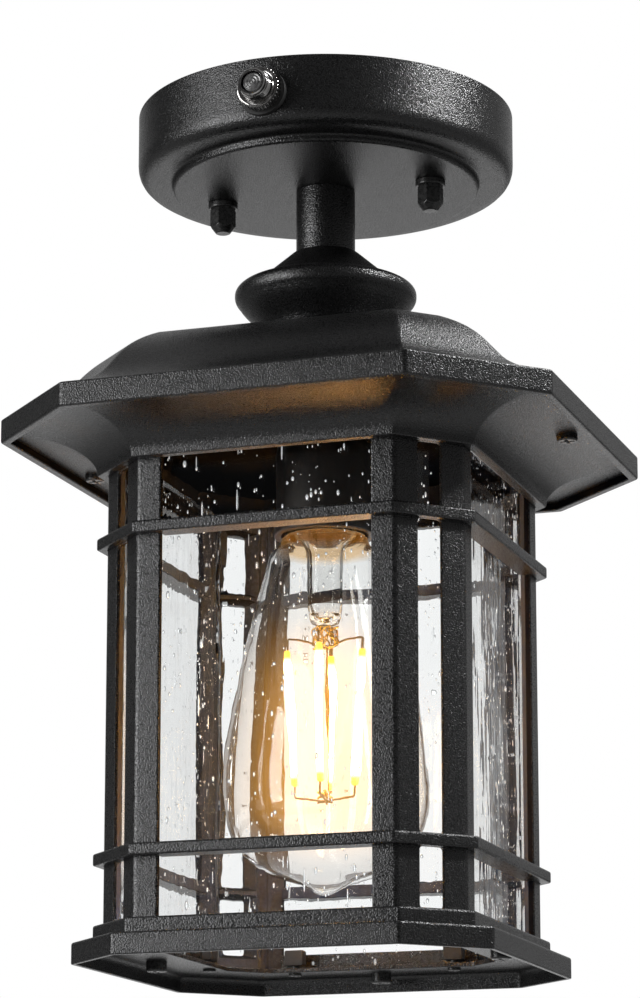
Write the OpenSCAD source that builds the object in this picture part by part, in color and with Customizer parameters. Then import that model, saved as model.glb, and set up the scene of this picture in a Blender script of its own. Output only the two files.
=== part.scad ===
// Porch ceiling lantern: a round ceiling canopy, a short stem, an eight-sided ogee roof
// and a glazed eight-sided cage with an open bottom, through which the bulb is changed.
// Millimetres. Origin: centre of the ceiling plane. +Z up, the lantern hangs below. Front is -Y.
// Every eight-sided outline has a half width to its wide faces (a) and a half length of
// those faces (b), so its corners lie at (b, a) and (a, b).

/* [Canopy] */
// Outer diameter of the ceiling canopy
canopy_d = 121.5; // [114:0.5:150]
// Depth of the canopy from the ceiling to its outer rim face
canopy_depth = 21.6; // [20:0.2:32]
// Thickness of the spun sheet
canopy_wall = 1.2; // [0.8:0.1:2]
// Radius of the rounded edge under the canopy's wall
canopy_edge_r = 4.6; // [2:0.1:5]
// Diameter of the pressed disc in the canopy's face
disc_d = 99; // [88:0.5:104]
// How far the disc stands below the rim face
disc_drop = 2.6; // [1:0.1:4]

/* [Ceiling fixing] */
// Distance from the crossbar's corners to the canopy's wall
crossbar_gap = 4.7; // [3:0.1:5]
// Width of the crossbar
crossbar_w = 20; // [16:0.5:26]
// Thickness of the crossbar
crossbar_t = 2; // [1.5:0.1:3]
// Distance between the two slots for the ceiling box's own screws
box_screw_spacing = 88.9; // [86:0.1:90]
// Width of those slots
box_slot_w = 4.4; // [3.5:0.1:5]
// Length of those slots, end to end
box_slot_l = 9; // [6:0.1:10]
// Distance from each of those slots in to the canopy screw beside it
canopy_screw_in = 8.95; // [8:0.05:12]
// Thread diameter of the canopy screws
canopy_screw_d = 4; // [3:0.1:5]
// Width of a cap nut across its flats
cap_nut_af = 7.3; // [6.5:0.1:8.5]
// Length of a cap nut
cap_nut_l = 8.2; // [7:0.1:11]
// Diameter of the collar above a cap nut
cap_collar_d = 9.6; // [9:0.1:12]
// Thickness of that collar
cap_collar_t = 1.9; // [1:0.1:3]

/* [Light sensor] */
// Height of the sensor's axis below the ceiling
sensor_drop = 11.6; // [10:0.1:13]
// Diameter of the sensor's threaded barrel
sensor_barrel_d = 9.6; // [8:0.1:11]
// How far the barrel stands out of the canopy's wall
sensor_reach = 10.6; // [8:0.1:14]
// Diameter of the rubber washer outside the wall
sensor_gasket_d = 15.2; // [14:0.1:16]
// Thickness of the rubber washer at the middle
sensor_gasket_t = 1.7; // [1.2:0.1:2.5]
// Diameter of the knurled ring nut
ring_nut_d = 13.8; // [12.5:0.1:15]
// Thickness of the knurled ring nut
ring_nut_t = 4.4; // [3:0.1:6]

/* [Stem and collar] */
// Outer diameter of the stem tube
stem_d = 19.05; // [16:0.05:22]
// Wall of the stem tube
stem_wall = 1.2; // [0.8:0.1:2]
// Length of stem that shows between canopy and collar
stem_show = 21.3; // [15:0.1:60]
// How deep the stem stands in the collar
stem_seat = 12; // [6:0.5:18]
// Diameter of the threaded pipe that holds everything together
pipe_d = 10; // [9:0.1:11]
// Bore of that pipe
pipe_bore = 6.6; // [5:0.1:7.5]
// Width of the pipe nuts across their flats
pipe_nut_af = 14; // [13:0.5:16]
// Thickness of the pipe nuts
pipe_nut_t = 4; // [3:0.1:6]
// Height of the turned collar
collar_h = 36.2; // [32:0.1:50]
// Diameter of the collar's lip
collar_lip_d = 58.6; // [52:0.2:66]
// Diameter of the collar at the foot of its cone
collar_cone_d = 43; // [36:0.2:48]
// Diameter of the collar's neck above the roof
collar_neck_d = 37.6; // [32:0.2:44]

/* [Roof] */
// Half width of the roof at its fascia
roof_a = 89.2; // [86:0.1:100]
// Half length of a wide side of the fascia
roof_b = 54.4; // [50:0.1:64]
// Height of the fascia
fascia_h = 7.6; // [6:0.1:12]
// Thickness of the fascia
fascia_wall = 3; // [2:0.1:4]
// Thickness of the roof, measured straight down
roof_wall = 2.2; // [1.6:0.1:3]
// Height of the ogee between fascia and roof top
ogee_h = 25.1; // [18:0.1:40]
// Half width of the flat roof top
roof_top_a = 50; // [46:0.1:56]
// Half length of a wide side of the roof top
roof_top_b = 38.4; // [34:0.1:42]
// Slope in degrees where the ogee leaves the roof top
ogee_top_slope = 24; // [10:1:40]
// Slope in degrees where the ogee meets the fascia
ogee_foot_slope = 13; // [5:1:25]
// Pull of both ends of the ogee, as a share of its run
ogee_pull = 0.65; // [0.5:0.01:0.75]

/* [Soffit] */
// How far the soffit's foot hangs below the fascia
cove_drop = 9.9; // [7:0.1:16]
// How far the soffit's edge is recessed up inside the fascia
cove_recess = 2.4; // [1:0.1:3.4]
// Thickness of the soffit
soffit_wall = 2; // [1.5:0.1:3]
// Thickness of the soffit's foot round the cage
foot_wall = 3.3; // [2.5:0.1:4.5]
// Distance from the soffit's edge in to each soffit screw
soffit_screw_in = 6.5; // [5.5:0.1:12]

/* [Cage] */
// Half width of the cage over its corner posts
post_a = 58; // [56:0.1:62]
// Half length of a wide side of the cage
post_b = 41.3; // [38:0.1:43.5]
// Width of a post's leg on a wide side
leg_w = 7.6; // [6:0.1:11]
// Depth of the posts, from face to glass
post_t = 4; // [3:0.1:5]
// Width of the narrow window in a post's corner face
corner_window_w = 8; // [5:0.1:10]
// Height of the upper row of windows
upper_window_h = 20; // [14:0.1:30]
// Height of the middle row of windows
middle_window_h = 95.3; // [80:0.1:140]
// Height of the lower row of windows
lower_window_h = 18.4; // [12:0.1:30]
// Height of the two bands round the cage
band_h = 3.8; // [3:0.1:8]
// How far the bands stand out of the posts' wide sides
band_out = 3.4; // [2:0.1:5]
// How far the bands' corners stand past the posts' corners
band_corner_out = 0.3; // [0.2:0.1:1.5]
// How far the posts stand up inside the soffit's foot
post_seat = 6; // [3:0.1:9]

/* [Base] */
// Height of the sill ring at the foot of the posts
sill_h = 5.1; // [4:0.1:10]
// How far the sill ring stands out of the posts' wide sides
sill_out = 2.6; // [2:0.1:4]
// How far the sill ring's corners stand past the posts' corners
sill_corner_out = 1.6; // [0.5:0.1:3]
// How far the base ring stands out of the posts' wide sides
base_out = 8.9; // [6:0.1:14]
// How far the base ring's corners stand past the posts' corners
base_corner_out = 3.5; // [2:0.1:8]
// Height of the base ring
base_h = 6.8; // [6:0.1:12]
// Thickness of the base ring
base_wall = 1.5; // [1.2:0.1:2.5]
// How far the base reaches in past the glass clips
mouth_ledge = 1.4; // [1:0.1:4]
// Half length of a wide side of the opening in the base
mouth_b = 34.5; // [31:0.1:36]

/* [Glass] */
// Thickness of the seeded glass
glass_t = 3; // [2:0.1:3.5]
// How far a wide pane reaches behind each post
pane_lap = 4; // [2.5:0.1:4.6]
// Width of a narrow corner pane
corner_pane_w = 15; // [12:0.1:15.5]
// Distance from a face's middle to each glass clip
clip_x = 27; // [18:0.1:30]

/* [Lamp holder and bulb] */
// Thickness of the lamp holder's lip, round the socket's shell
holder_lip_t = 2.6; // [2:0.05:5]
// Drop from the soffit's foot to the lamp holder's mouth
holder_drop = 15; // [10:0.1:20]
// Depth of the lamp holder from its mouth to its ceiling
holder_depth = 29; // [28:0.1:32]
// Diameter of the bulb's glass
bulb_d = 64.6; // [60:0.1:70]
// Length of the bulb's glass below the lamp holder's mouth
bulb_show = 114.5; // [104:0.1:118]
// Diameter of the bulb's screw cap
cap_d = 26.1; // [25.8:0.05:26.4]
// Wall of the blown bulb
bulb_wall = 0.8; // [0.6:0.1:1.2]

/* [Hidden] */

fit = 0.1;          // clearance round a piece that is held still
glass_gap = 0.25;   // clearance before and behind the glass
slide_gap = 0.35;   // clearance between the bulb's cap and the lamp holder
round_fn = 96;
arc_steps = 12;     // straight steps in a quarter turn of a profile
far = 400;          // longer than any slab that is cut to shape
tall = 50;          // deeper than any wall that is cut through

// Levels, from the ceiling down
disc_z = -canopy_depth - disc_drop;
collar_z = disc_z - stem_show;
roof_z = collar_z - collar_h;
fascia_z = roof_z - ogee_h;
eaves_z = fascia_z - fascia_h;
foot_z = eaves_z - cove_drop;
upper_band_z = foot_z - upper_window_h;
lower_band_z = upper_band_z - band_h - middle_window_h;
sill_z = lower_band_z - band_h - lower_window_h;
base_z = sill_z - sill_h;
bottom_z = base_z - base_h;
holder_z = foot_z - holder_drop;
bulb_tip_z = holder_z - bulb_show;

// Widths that follow from the others
canopy_r = canopy_d / 2;
canopy_in_r = canopy_r - canopy_wall;
soffit_a = roof_a - fascia_wall - 2 * fit;
soffit_screw_x = soffit_a - soffit_screw_in;
foot_a = post_a + fit + foot_wall;
inner_a = post_a - post_t;
bore_r = cap_d / 2 + slide_gap;

// Screws
big_head_d = 6.6;
big_head_h = 2.1;
small_head_d = 4.6;
small_head_h = 1.5;
soffit_screw_d = 3;
base_screw_d = 2.4;
clip_screw_d = 2.4;
screw_gap = 0.05;   // between a screw and the hole that its thread bites into

function lerp(p, q, t) = p + (q - p) * t;
function bezier(p, q, r, s, t) = pow(1 - t, 3) * p + 3 * pow(1 - t, 2) * t * q
    + 3 * (1 - t) * t * t * r + pow(t, 3) * s;
// Points of an arc in a profile, from one angle to another
function arc(cx, cy, rx, ry, from, to, n = arc_steps) =
    [for (i = [0 : n]) let (w = lerp(from, to, i / n)) [cx + rx * cos(w), cy + ry * sin(w)]];
// Distance from the axis to a corner face
function corner(a, b) = (a + b) / sqrt(2);
// How far b grows when all eight faces move out by t
function b_step(t) = t * (sqrt(2) - 1);

// A plate with an eight-sided outline
module oct_plate(a, b, z, h)
    translate([0, 0, z]) linear_extrude(h)
        polygon([[a, b], [b, a], [-b, a], [-a, b], [-a, -b], [-b, -a], [b, -a], [a, -b]]);

// A slab whose edge follows one column of an eight-sided profile: rows of [a, corner, z]
module oct_slab(rows, column, turn)
    rotate([0, 0, turn]) rotate([90, 0, 0]) linear_extrude(far, center = true)
        polygon(concat([for (p = rows) [p[column], p[2]]],
            [for (i = [len(rows) - 1 : -1 : 0]) [-rows[i][column], rows[i][2]]]));

// The eight-sided solid in which four such slabs cross
module oct_solid(rows) intersection() {
    oct_slab(rows, 0, 0);
    oct_slab(rows, 1, 45);
    oct_slab(rows, 0, 90);
    oct_slab(rows, 1, 135);
}

// A straight round wire or rod between two points
module rod(p, q, r)
    translate(p) rotate([0, acos((q[2] - p[2]) / norm(q - p)), atan2(q[1] - p[1], q[0] - p[0])])
        cylinder(h = norm(q - p), r = r, $fn = 24);

module washer(z, d, hole_d, h)
    translate([0, 0, z]) difference() {
        cylinder(h = h, d = d, $fn = round_fn);
        translate([0, 0, -1]) cylinder(h = h + 2, d = hole_d, $fn = round_fn);
    }

module hex_nut(z, af, hole_d, h)
    translate([0, 0, z]) difference() {
        cylinder(h = h, r = af / 2 / cos(30), $fn = 6);
        translate([0, 0, -1]) cylinder(h = h + 2, d = hole_d, $fn = round_fn);
    }

// A pan head that hangs under z, with its shank above it
module hanging_screw(z, head_d, head_h, shank_d, shank_l) {
    edge = head_h * 0.6;
    translate([0, 0, z - head_h]) rotate_extrude($fn = round_fn) polygon(concat(
        [[0, head_h], [0, 0]], arc(head_d / 2 - edge, edge, edge, edge, -90, 0, 6), [[head_d / 2, head_h]]));
    translate([0, 0, z - fit]) cylinder(h = shank_l + fit, d = shank_d, $fn = 48);
}

// ---------------------------------------------------------------- ceiling fixing

crossbar_l = 2 * (sqrt(pow(canopy_in_r, 2) - pow(crossbar_w / 2, 2)) - crossbar_gap);
stud_x = box_screw_spacing / 2 - canopy_screw_in;
slot_r = box_slot_w / 2;
ground_x = 20;
ground_d = 3.5;
wire_hole_d = 13;

module crossbar() color("silver") difference() {
    translate([-crossbar_l / 2, -crossbar_w / 2, -crossbar_t])
        cube([crossbar_l, crossbar_w, crossbar_t]);
    translate([0, 0, -crossbar_t - 1]) cylinder(h = crossbar_t + 2, d = wire_hole_d, $fn = round_fn);
    for (s = [-1, 1]) {
        translate([s * stud_x, 0, -crossbar_t - 1])
            cylinder(h = crossbar_t + 2, d = canopy_screw_d + 2 * fit, $fn = 48);
        translate([s * box_screw_spacing / 2, 0, -crossbar_t - 1]) linear_extrude(crossbar_t + 2) {
            square([box_slot_l - box_slot_w, box_slot_w], center = true);
            for (e = [-1, 1]) translate([e * (box_slot_l / 2 - slot_r), 0]) circle(slot_r, $fn = 48);
        }
    }
    translate([ground_x, 0, -crossbar_t - 1])
        cylinder(h = crossbar_t + 2, d = ground_d + 2 * fit, $fn = 48);
}

module ground_screw() color("green") translate([ground_x, 0, 0])
    hanging_screw(-crossbar_t, 8, 2.4, ground_d, crossbar_t);

// ---------------------------------------------------------------- canopy

step_r = disc_drop / 2;   // the two small bends between rim face and disc

module canopy_profile(shrink) {
    r = canopy_r - shrink;
    edge = canopy_edge_r - shrink;
    in = disc_d / 2 - shrink;
    polygon(concat([[0, 0], [r, 0]],
        arc(r - edge, -canopy_depth + canopy_edge_r, edge, edge, 0, -90),
        arc(in + step_r, -canopy_depth + shrink - step_r, step_r, step_r, 90, 180, 6),
        arc(in - step_r, -canopy_depth + shrink - step_r, step_r, step_r, 0, -90, 6),
        [[0, disc_z + shrink]]));
}

module canopy() color("dimgray") difference() {
    rotate_extrude($fn = round_fn) canopy_profile(0);
    rotate_extrude($fn = round_fn) canopy_profile(canopy_wall);
    translate([0, 0, -canopy_wall]) cylinder(h = 2 * canopy_wall, r = canopy_in_r, $fn = round_fn);
    translate([0, 0, disc_z - 1]) cylinder(h = 4, d = pipe_d + 2 * fit, $fn = round_fn);
    for (s = [-1, 1]) translate([s * stud_x, 0, disc_z - 1])
        cylinder(h = 4, d = canopy_screw_d + 4 * fit, $fn = 48);
    translate([0, 0, -sensor_drop]) rotate([90, 0, 0])
        cylinder(h = canopy_r + 5, d = sensor_barrel_d + 2 * fit, $fn = round_fn);
}

nut_z = disc_z - cap_collar_t;
nut_bore = 6.5;
stud_head_d = 7.5;
stud_head_h = 2.2;

module canopy_screws() color("silver") for (s = [-1, 1]) translate([s * stud_x, 0, 0]) {
    cylinder(h = stud_head_h, d = stud_head_d, $fn = round_fn);
    translate([0, 0, nut_z - nut_bore + 1])
        cylinder(h = nut_bore - 1 - nut_z + 0.5, d = canopy_screw_d, $fn = 48);
}

module cap_nut_collars() color("black") for (s = [-1, 1]) translate([s * stud_x, 0, 0])
    washer(nut_z, cap_collar_d, canopy_screw_d + 2 * fit, cap_collar_t);

module cap_nuts() color("black") for (s = [-1, 1]) translate([s * stud_x, 0, nut_z]) difference() {
    r = cap_nut_af / 2 / cos(30);
    tip = cap_nut_l * 0.3;
    intersection() {
        translate([0, 0, -cap_nut_l]) cylinder(h = cap_nut_l, r = r, $fn = 6);
        rotate_extrude($fn = round_fn)
            polygon([[0, 0], [r, 0], [r, tip - cap_nut_l], [r * 0.55, -cap_nut_l], [0, -cap_nut_l]]);
    }
    translate([0, 0, -nut_bore]) cylinder(h = nut_bore + 1, d = canopy_screw_d + fit, $fn = 48);
}

// ---------------------------------------------------------------- light sensor
// Each piece is drawn along the sensor's axis, which runs from the canopy's axis to the front.

module along_sensor() translate([0, 0, -sensor_drop]) rotate([90, 0, 0]) children();

housing = [20, 13, 17];   // across, high, deep
flange_d = 14;
barrel_r = sensor_barrel_d / 2;
lens_d = sensor_barrel_d * 0.68;
lens_in = 1.2;            // how deep the lens sits in the nose
lens_t = 2;
nose_l = 2.2;             // the smooth nose in front of the thread, and how much slimmer it is
nose_step = 0.5;
flange_start = canopy_in_r - 3.5;
nut_start = canopy_r + sensor_gasket_t;
nose_end = canopy_r + sensor_reach;

module sensor_body() color("gray") {
    along_sensor() translate([-housing[0] / 2, -housing[1] / 2, flange_start - housing[2]])
        cube(housing);
    intersection() {
        along_sensor() translate([0, 0, flange_start - fit])
            cylinder(h = canopy_r - flange_start, d = flange_d, $fn = round_fn);
        rotate_extrude($fn = round_fn) canopy_profile(canopy_wall + fit);
    }
    along_sensor() rotate_extrude($fn = round_fn)
        polygon([[0, flange_start - fit], [barrel_r, flange_start - fit],
            [barrel_r, nose_end - nose_l - nose_step], [barrel_r - nose_step, nose_end - nose_l],
            [barrel_r - nose_step, nose_end], [lens_d / 2 + fit, nose_end],
            [lens_d / 2 + fit, nose_end - lens_in - lens_t], [0, nose_end - lens_in - lens_t]]);
}

module sensor_gasket() color("black") difference() {
    along_sensor() translate([0, 0, canopy_r - 3]) difference() {
        cylinder(h = 3 + sensor_gasket_t, d = sensor_gasket_d, $fn = round_fn);
        translate([0, 0, -1])
            cylinder(h = 5 + sensor_gasket_t, d = sensor_barrel_d + 2 * fit, $fn = round_fn);
    }
    translate([0, 0, -canopy_depth - 10])
        cylinder(h = canopy_depth + 11, r = canopy_r, $fn = 4 * round_fn);
}

knurls = 36;
knurl_h = 0.45;

module sensor_ring_nut() color("silver") along_sensor() translate([0, 0, nut_start]) difference() {
    linear_extrude(ring_nut_t) polygon([for (i = [0 : 2 * knurls - 1])
        (ring_nut_d / 2 - (i % 2) * knurl_h) * [cos(i * 180 / knurls), sin(i * 180 / knurls)]]);
    translate([0, 0, -1]) cylinder(h = ring_nut_t + 2, d = sensor_barrel_d + 2 * fit, $fn = round_fn);
}

module sensor_lens() color("lightblue") along_sensor() rotate_extrude($fn = round_fn)
    polygon(concat([[0, nose_end - lens_in - lens_t], [lens_d / 2, nose_end - lens_in - lens_t]],
        arc(0, nose_end - lens_in, lens_d / 2, lens_in * 0.8, 0, 90, 8)));

// ---------------------------------------------------------------- stem and collar

crown_h = 10;         // the lamp holder above its ceiling
pipe_in_holder = 8;   // how far the pipe is screwed into it
ceiling_z = holder_z + holder_depth;
pipe_bottom_z = ceiling_z + crown_h - pipe_in_holder;
pipe_washer_t = 1;
pipe_top_z = disc_z + canopy_wall + pipe_washer_t + pipe_nut_t + 5;
collar_lip_z = roof_z + collar_h * 0.625;   // height of the lip's widest circle
collar_foot_d = collar_neck_d + 4;

module threaded_pipe() color("silver") difference() {
    translate([0, 0, pipe_bottom_z])
        cylinder(h = pipe_top_z - pipe_bottom_z, d = pipe_d, $fn = round_fn);
    translate([0, 0, pipe_bottom_z - 1])
        cylinder(h = pipe_top_z - pipe_bottom_z + 2, d = pipe_bore, $fn = round_fn);
}

canopy_floor_z = disc_z + canopy_wall;

module canopy_pipe_washer() color("silver")
    washer(canopy_floor_z, pipe_nut_af + 4, pipe_d + 2 * fit, pipe_washer_t);

module canopy_pipe_nut() color("silver")
    hex_nut(canopy_floor_z + pipe_washer_t, pipe_nut_af, pipe_d + 2 * fit, pipe_nut_t);

module stem() color("dimgray") translate([0, 0, collar_z - stem_seat]) difference() {
    cylinder(h = stem_show + stem_seat, d = stem_d, $fn = round_fn);
    translate([0, 0, -1])
        cylinder(h = stem_show + stem_seat + 2, d = stem_d - 2 * stem_wall, $fn = round_fn);
}

module collar() color("dimgray") difference() {
    lip_r = collar_lip_d / 2;
    cone_r = collar_cone_d / 2;
    neck_r = collar_neck_d / 2;
    lip_h = 2.6;
    rotate_extrude($fn = round_fn) polygon(concat(
        [[0, collar_z], [stem_d / 2 + 1.2, collar_z], [cone_r, collar_lip_z + 1.6 * lip_h]],
        arc(lip_r - 5, collar_lip_z - 0.3, 5, 1.3 * lip_h, 90, 0, 8),
        arc(lip_r - 5, collar_lip_z - 0.8, 5, lip_h * 1.5, 0, -40, 5),
        [for (i = [1 : 8]) bezier([lip_r - 1.6, collar_lip_z - 4], [lip_r - 5, collar_lip_z - 9],
            [neck_r + 0.5, collar_lip_z - 10], [neck_r, roof_z + 6], i / 8)],
        [[neck_r, roof_z + 3.4], [collar_foot_d / 2, roof_z + 2], [collar_foot_d / 2, roof_z], [0, roof_z]]));
    translate([0, 0, collar_z - stem_seat])
        cylinder(h = stem_seat + 1, d = stem_d + 2 * fit, $fn = round_fn);
    translate([0, 0, roof_z - 1]) cylinder(h = collar_h + 1, d = pipe_d + 2 * fit, $fn = round_fn);
}

// ---------------------------------------------------------------- roof

ogee_run = roof_a - roof_top_a;
pull = ogee_pull * ogee_run;
// b of the roof's outline, where the outline's half width is a
function roof_b_at(a) = roof_top_b + (roof_b - roof_top_b) * (a - roof_top_a) / ogee_run;

// The ogee from the roof top out to the fascia, dropped by some height
function ogee(drop) = [for (i = [0 : 2 * arc_steps])
    let (p = bezier([roof_top_a, roof_z],
            [roof_top_a + pull * cos(ogee_top_slope), roof_z - pull * sin(ogee_top_slope)],
            [roof_a - pull * cos(ogee_foot_slope), fascia_z + pull * sin(ogee_foot_slope)],
            [roof_a, fascia_z], i / (2 * arc_steps)))
        [p[0], corner(p[0], roof_b_at(p[0])), p[1] - drop]];

boss_d = 7.4;
soffit_top_z = eaves_z + cove_recess + soffit_wall;
screw_bite = 4;      // how far the soffit screws reach into the roof's bosses

module roof() color("dimgray") difference() {
    oct_solid(concat(ogee(0), [[roof_a, corner(roof_a, roof_b), eaves_z]]));
    difference() {
        intersection() {
            oct_solid(concat(ogee(roof_wall), [[roof_a, corner(roof_a, roof_b), eaves_z - 5]]));
            oct_solid([for (z = [roof_z, eaves_z - 5])
                [roof_a - fascia_wall, corner(roof_a, roof_b) - fascia_wall, z]]);
        }
        for (s = [-1, 1]) translate([s * soffit_screw_x, 0, soffit_top_z])
            cylinder(h = ogee_h, d = boss_d, $fn = round_fn);
    }
    for (s = [-1, 1]) translate([s * soffit_screw_x, 0, soffit_top_z - 1])
        cylinder(h = screw_bite + 1.5, d = soffit_screw_d + 2 * screw_gap, $fn = 48);
    translate([0, 0, roof_z - ogee_h]) cylinder(h = ogee_h + 1, d = pipe_d + 2 * fit, $fn = round_fn);
}

roof_in_z = roof_z - roof_wall;

module roof_pipe_washer() color("silver")
    washer(roof_in_z - pipe_washer_t, pipe_nut_af + 8, pipe_d + 2 * fit, pipe_washer_t);

module roof_pipe_nut() color("silver")
    hex_nut(roof_in_z - pipe_washer_t - pipe_nut_t, pipe_nut_af, pipe_d + 2 * fit, pipe_nut_t);

// ---------------------------------------------------------------- soffit

foot_b = post_b + b_step(foot_wall) / 2;   // the foot's corners are thinner than its sides
upstand = 2;          // the foot's inner rim, which stands up round the posts
soffit_corner = corner(roof_a, roof_b) - fascia_wall - 2 * fit;
cove_h = cove_drop + cove_recess;

// The cove from the soffit's foot out to its edge: a quarter of an ellipse, raised by some height
function cove(rise) = [for (i = [arc_steps : -1 : 0]) let (w = 90 * i / arc_steps)
    [lerp(foot_a, soffit_a, 1 - cos(w)), lerp(corner(foot_a, foot_b), soffit_corner, 1 - cos(w)),
        foot_z + cove_h * sin(w) + rise]];

// The soffit screws' heads sit in spot-faces, just above the cove
seat_z = foot_z + cove_h * sin(acos(1 - (soffit_screw_x - foot_a) / (soffit_a - foot_a))) + 0.15;
spot_d = big_head_d + 0.8;

module soffit() color("dimgray") difference() {
    oct_solid(concat([[soffit_a, soffit_corner, soffit_top_z]], cove(0)));
    difference() {
        oct_solid(concat([[soffit_a, soffit_corner, soffit_top_z + 5]], cove(soffit_wall)));
        oct_plate(post_a + upstand, post_b + b_step(upstand), foot_z - 5, tall);
    }
    oct_plate(post_a + fit, post_b + b_step(fit), foot_z - 5, tall);
    for (s = [-1, 1]) translate([s * soffit_screw_x, 0, seat_z]) {
        translate([0, 0, -spot_d]) cylinder(h = spot_d, d = spot_d, $fn = 48);
        translate([0, 0, -1]) cylinder(h = spot_d, d = soffit_screw_d + 2 * fit, $fn = 48);
    }
}

module soffit_screws() color("black") for (s = [-1, 1]) translate([s * soffit_screw_x, 0, 0])
    hanging_screw(seat_z, big_head_d, big_head_h, soffit_screw_d, soffit_top_z - seat_z + screw_bite);

// ---------------------------------------------------------------- cage

post_h = foot_z + post_seat - base_z;
leg_in = post_b - leg_w;
bend_in = post_b - b_step(post_t);   // where a post's inside turns its corner

// The post at the right of the front; the others are mirrored from it
module post() color("dimgray") difference() {
    translate([0, 0, base_z]) linear_extrude(post_h) polygon([[leg_in, -post_a], [post_b, -post_a],
        [post_a, -post_b], [post_a, -leg_in], [inner_a, -leg_in], [inner_a, -bend_in],
        [bend_in, -inner_a], [leg_in, -inner_a]]);
    for (w = [[foot_z, upper_window_h], [upper_band_z - band_h, middle_window_h],
            [lower_band_z - band_h, lower_window_h]])
        rotate([0, 0, -45]) translate([inner_a, -corner_window_w / 2, w[0] - w[1]])
            cube([tall, corner_window_w, w[1]]);
}

module post_front_right() post();
module post_front_left() mirror([1, 0, 0]) post();
module post_back_right() mirror([0, 1, 0]) post();
module post_back_left() mirror([1, 0, 0]) mirror([0, 1, 0]) post();

// A ring round the posts, with a bar across each wide window between the posts
module cage_ring(z, h, out, corner_out) difference() {
    oct_plate(post_a + out, post_b + corner_out, z - h, h);
    difference() {
        oct_plate(post_a + fit, post_b + b_step(fit), z - h - 1, h + 2);
        for (turn = [0 : 90 : 270]) rotate([0, 0, turn])
            translate([fit - leg_in, inner_a, z - h - 2]) cube([2 * (leg_in - fit), tall, h + 4]);
    }
}

module upper_band() color("dimgray") cage_ring(upper_band_z, band_h, band_out, band_corner_out);
module lower_band() color("dimgray") cage_ring(lower_band_z, band_h, band_out, band_corner_out);

base_screw_y = inner_a + post_t * 0.6;   // the base screws enter the sill's bars here
base_screw_l = base_wall + sill_h - 2;

module at_base_screws() for (turn = [0 : 90 : 270]) rotate([0, 0, turn])
    translate([0, base_screw_y, base_z - base_wall]) children();

module sill_ring() color("dimgray") difference() {
    cage_ring(sill_z, sill_h, sill_out, sill_corner_out);
    at_base_screws() cylinder(h = base_screw_l + 1, d = base_screw_d + 2 * screw_gap, $fn = 48);
}

// ---------------------------------------------------------------- base

clip_size = [6.5, 3.6, 5];   // along the pane, towards the middle, high
clip_lift = 1;
clip_y = inner_a - 2 * glass_gap - glass_t - clip_size[1] / 2;
clip_screw_l = base_wall + clip_lift + clip_size[2] - 2;
base_a = post_a + base_out;
base_b = post_b + base_corner_out;
mouth_a = clip_y - clip_size[1] / 2 - mouth_ledge;

// Puts a copy of the children at each glass clip, with +Y towards the pane
module at_clips() for (turn = [0 : 90 : 270], s = [-1, 1])
    rotate([0, 0, turn]) translate([s * clip_x, clip_y, base_z]) children();

module base_ring() color("dimgray") difference() {
    oct_plate(base_a, base_b, bottom_z, base_h);
    oct_plate(base_a - base_wall, base_b - b_step(base_wall), bottom_z - 1, base_h + 1 - base_wall);
    oct_plate(mouth_a, mouth_b, bottom_z - 1, base_h + 2);
    at_base_screws() translate([0, 0, -1])
        cylinder(h = base_wall + 2, d = base_screw_d + 2 * fit, $fn = 48);
    at_clips() translate([0, 0, -base_wall - 1])
        cylinder(h = base_wall + 2, d = clip_screw_d + 2 * fit, $fn = 48);
}

module base_screws() color("black") at_base_screws()
    hanging_screw(0, big_head_d, big_head_h, base_screw_d, base_screw_l);

module glass_clips() color("black") at_clips() difference() {
    translate([-clip_size[0] / 2, -clip_size[1] / 2, clip_lift]) cube(clip_size);
    translate([0, 0, -base_wall])
        cylinder(h = clip_screw_l + 1, d = clip_screw_d + 2 * screw_gap, $fn = 48);
}

module clip_screws() color("silver") at_clips()
    hanging_screw(-base_wall, small_head_d, small_head_h, clip_screw_d, clip_screw_l);

// ---------------------------------------------------------------- glass

pane_w = 2 * (leg_in + pane_lap);
pane_top = foot_z + post_seat - 1;
pane_h = pane_top - base_z - glass_gap;

module pane() color("lightblue", 0.4)
    translate([-pane_w / 2, glass_gap - inner_a, base_z + glass_gap]) cube([pane_w, glass_t, pane_h]);

module pane_front() pane();
module pane_right() rotate([0, 0, 90]) pane();
module pane_back() rotate([0, 0, 180]) pane();
module pane_left() rotate([0, 0, 270]) pane();

module corner_pane() color("lightblue", 0.4) rotate([0, 0, -45])
    translate([corner(post_a, post_b) - post_t - glass_gap - glass_t, -corner_pane_w / 2, base_z + glass_gap])
        cube([glass_t, corner_pane_w, pane_h]);

module corner_pane_front_right() corner_pane();
module corner_pane_back_right() rotate([0, 0, 90]) corner_pane();
module corner_pane_back_left() rotate([0, 0, 180]) corner_pane();
module corner_pane_front_left() rotate([0, 0, 270]) corner_pane();

// ---------------------------------------------------------------- lamp holder

shell_t = 0.4;
holder_in_r = bore_r + shell_t + fit;
holder_r = holder_in_r + holder_lip_t;
lip_h = 4;           // the thicker lip round the mouth, and how far it stands out
lip_out = 0.9;
insulator_t = 1.5;
shell_top_z = ceiling_z - insulator_t;
shell_l = holder_depth - insulator_t - 3;
contact_r = 3.6;
contact_h = 1.6;

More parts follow.
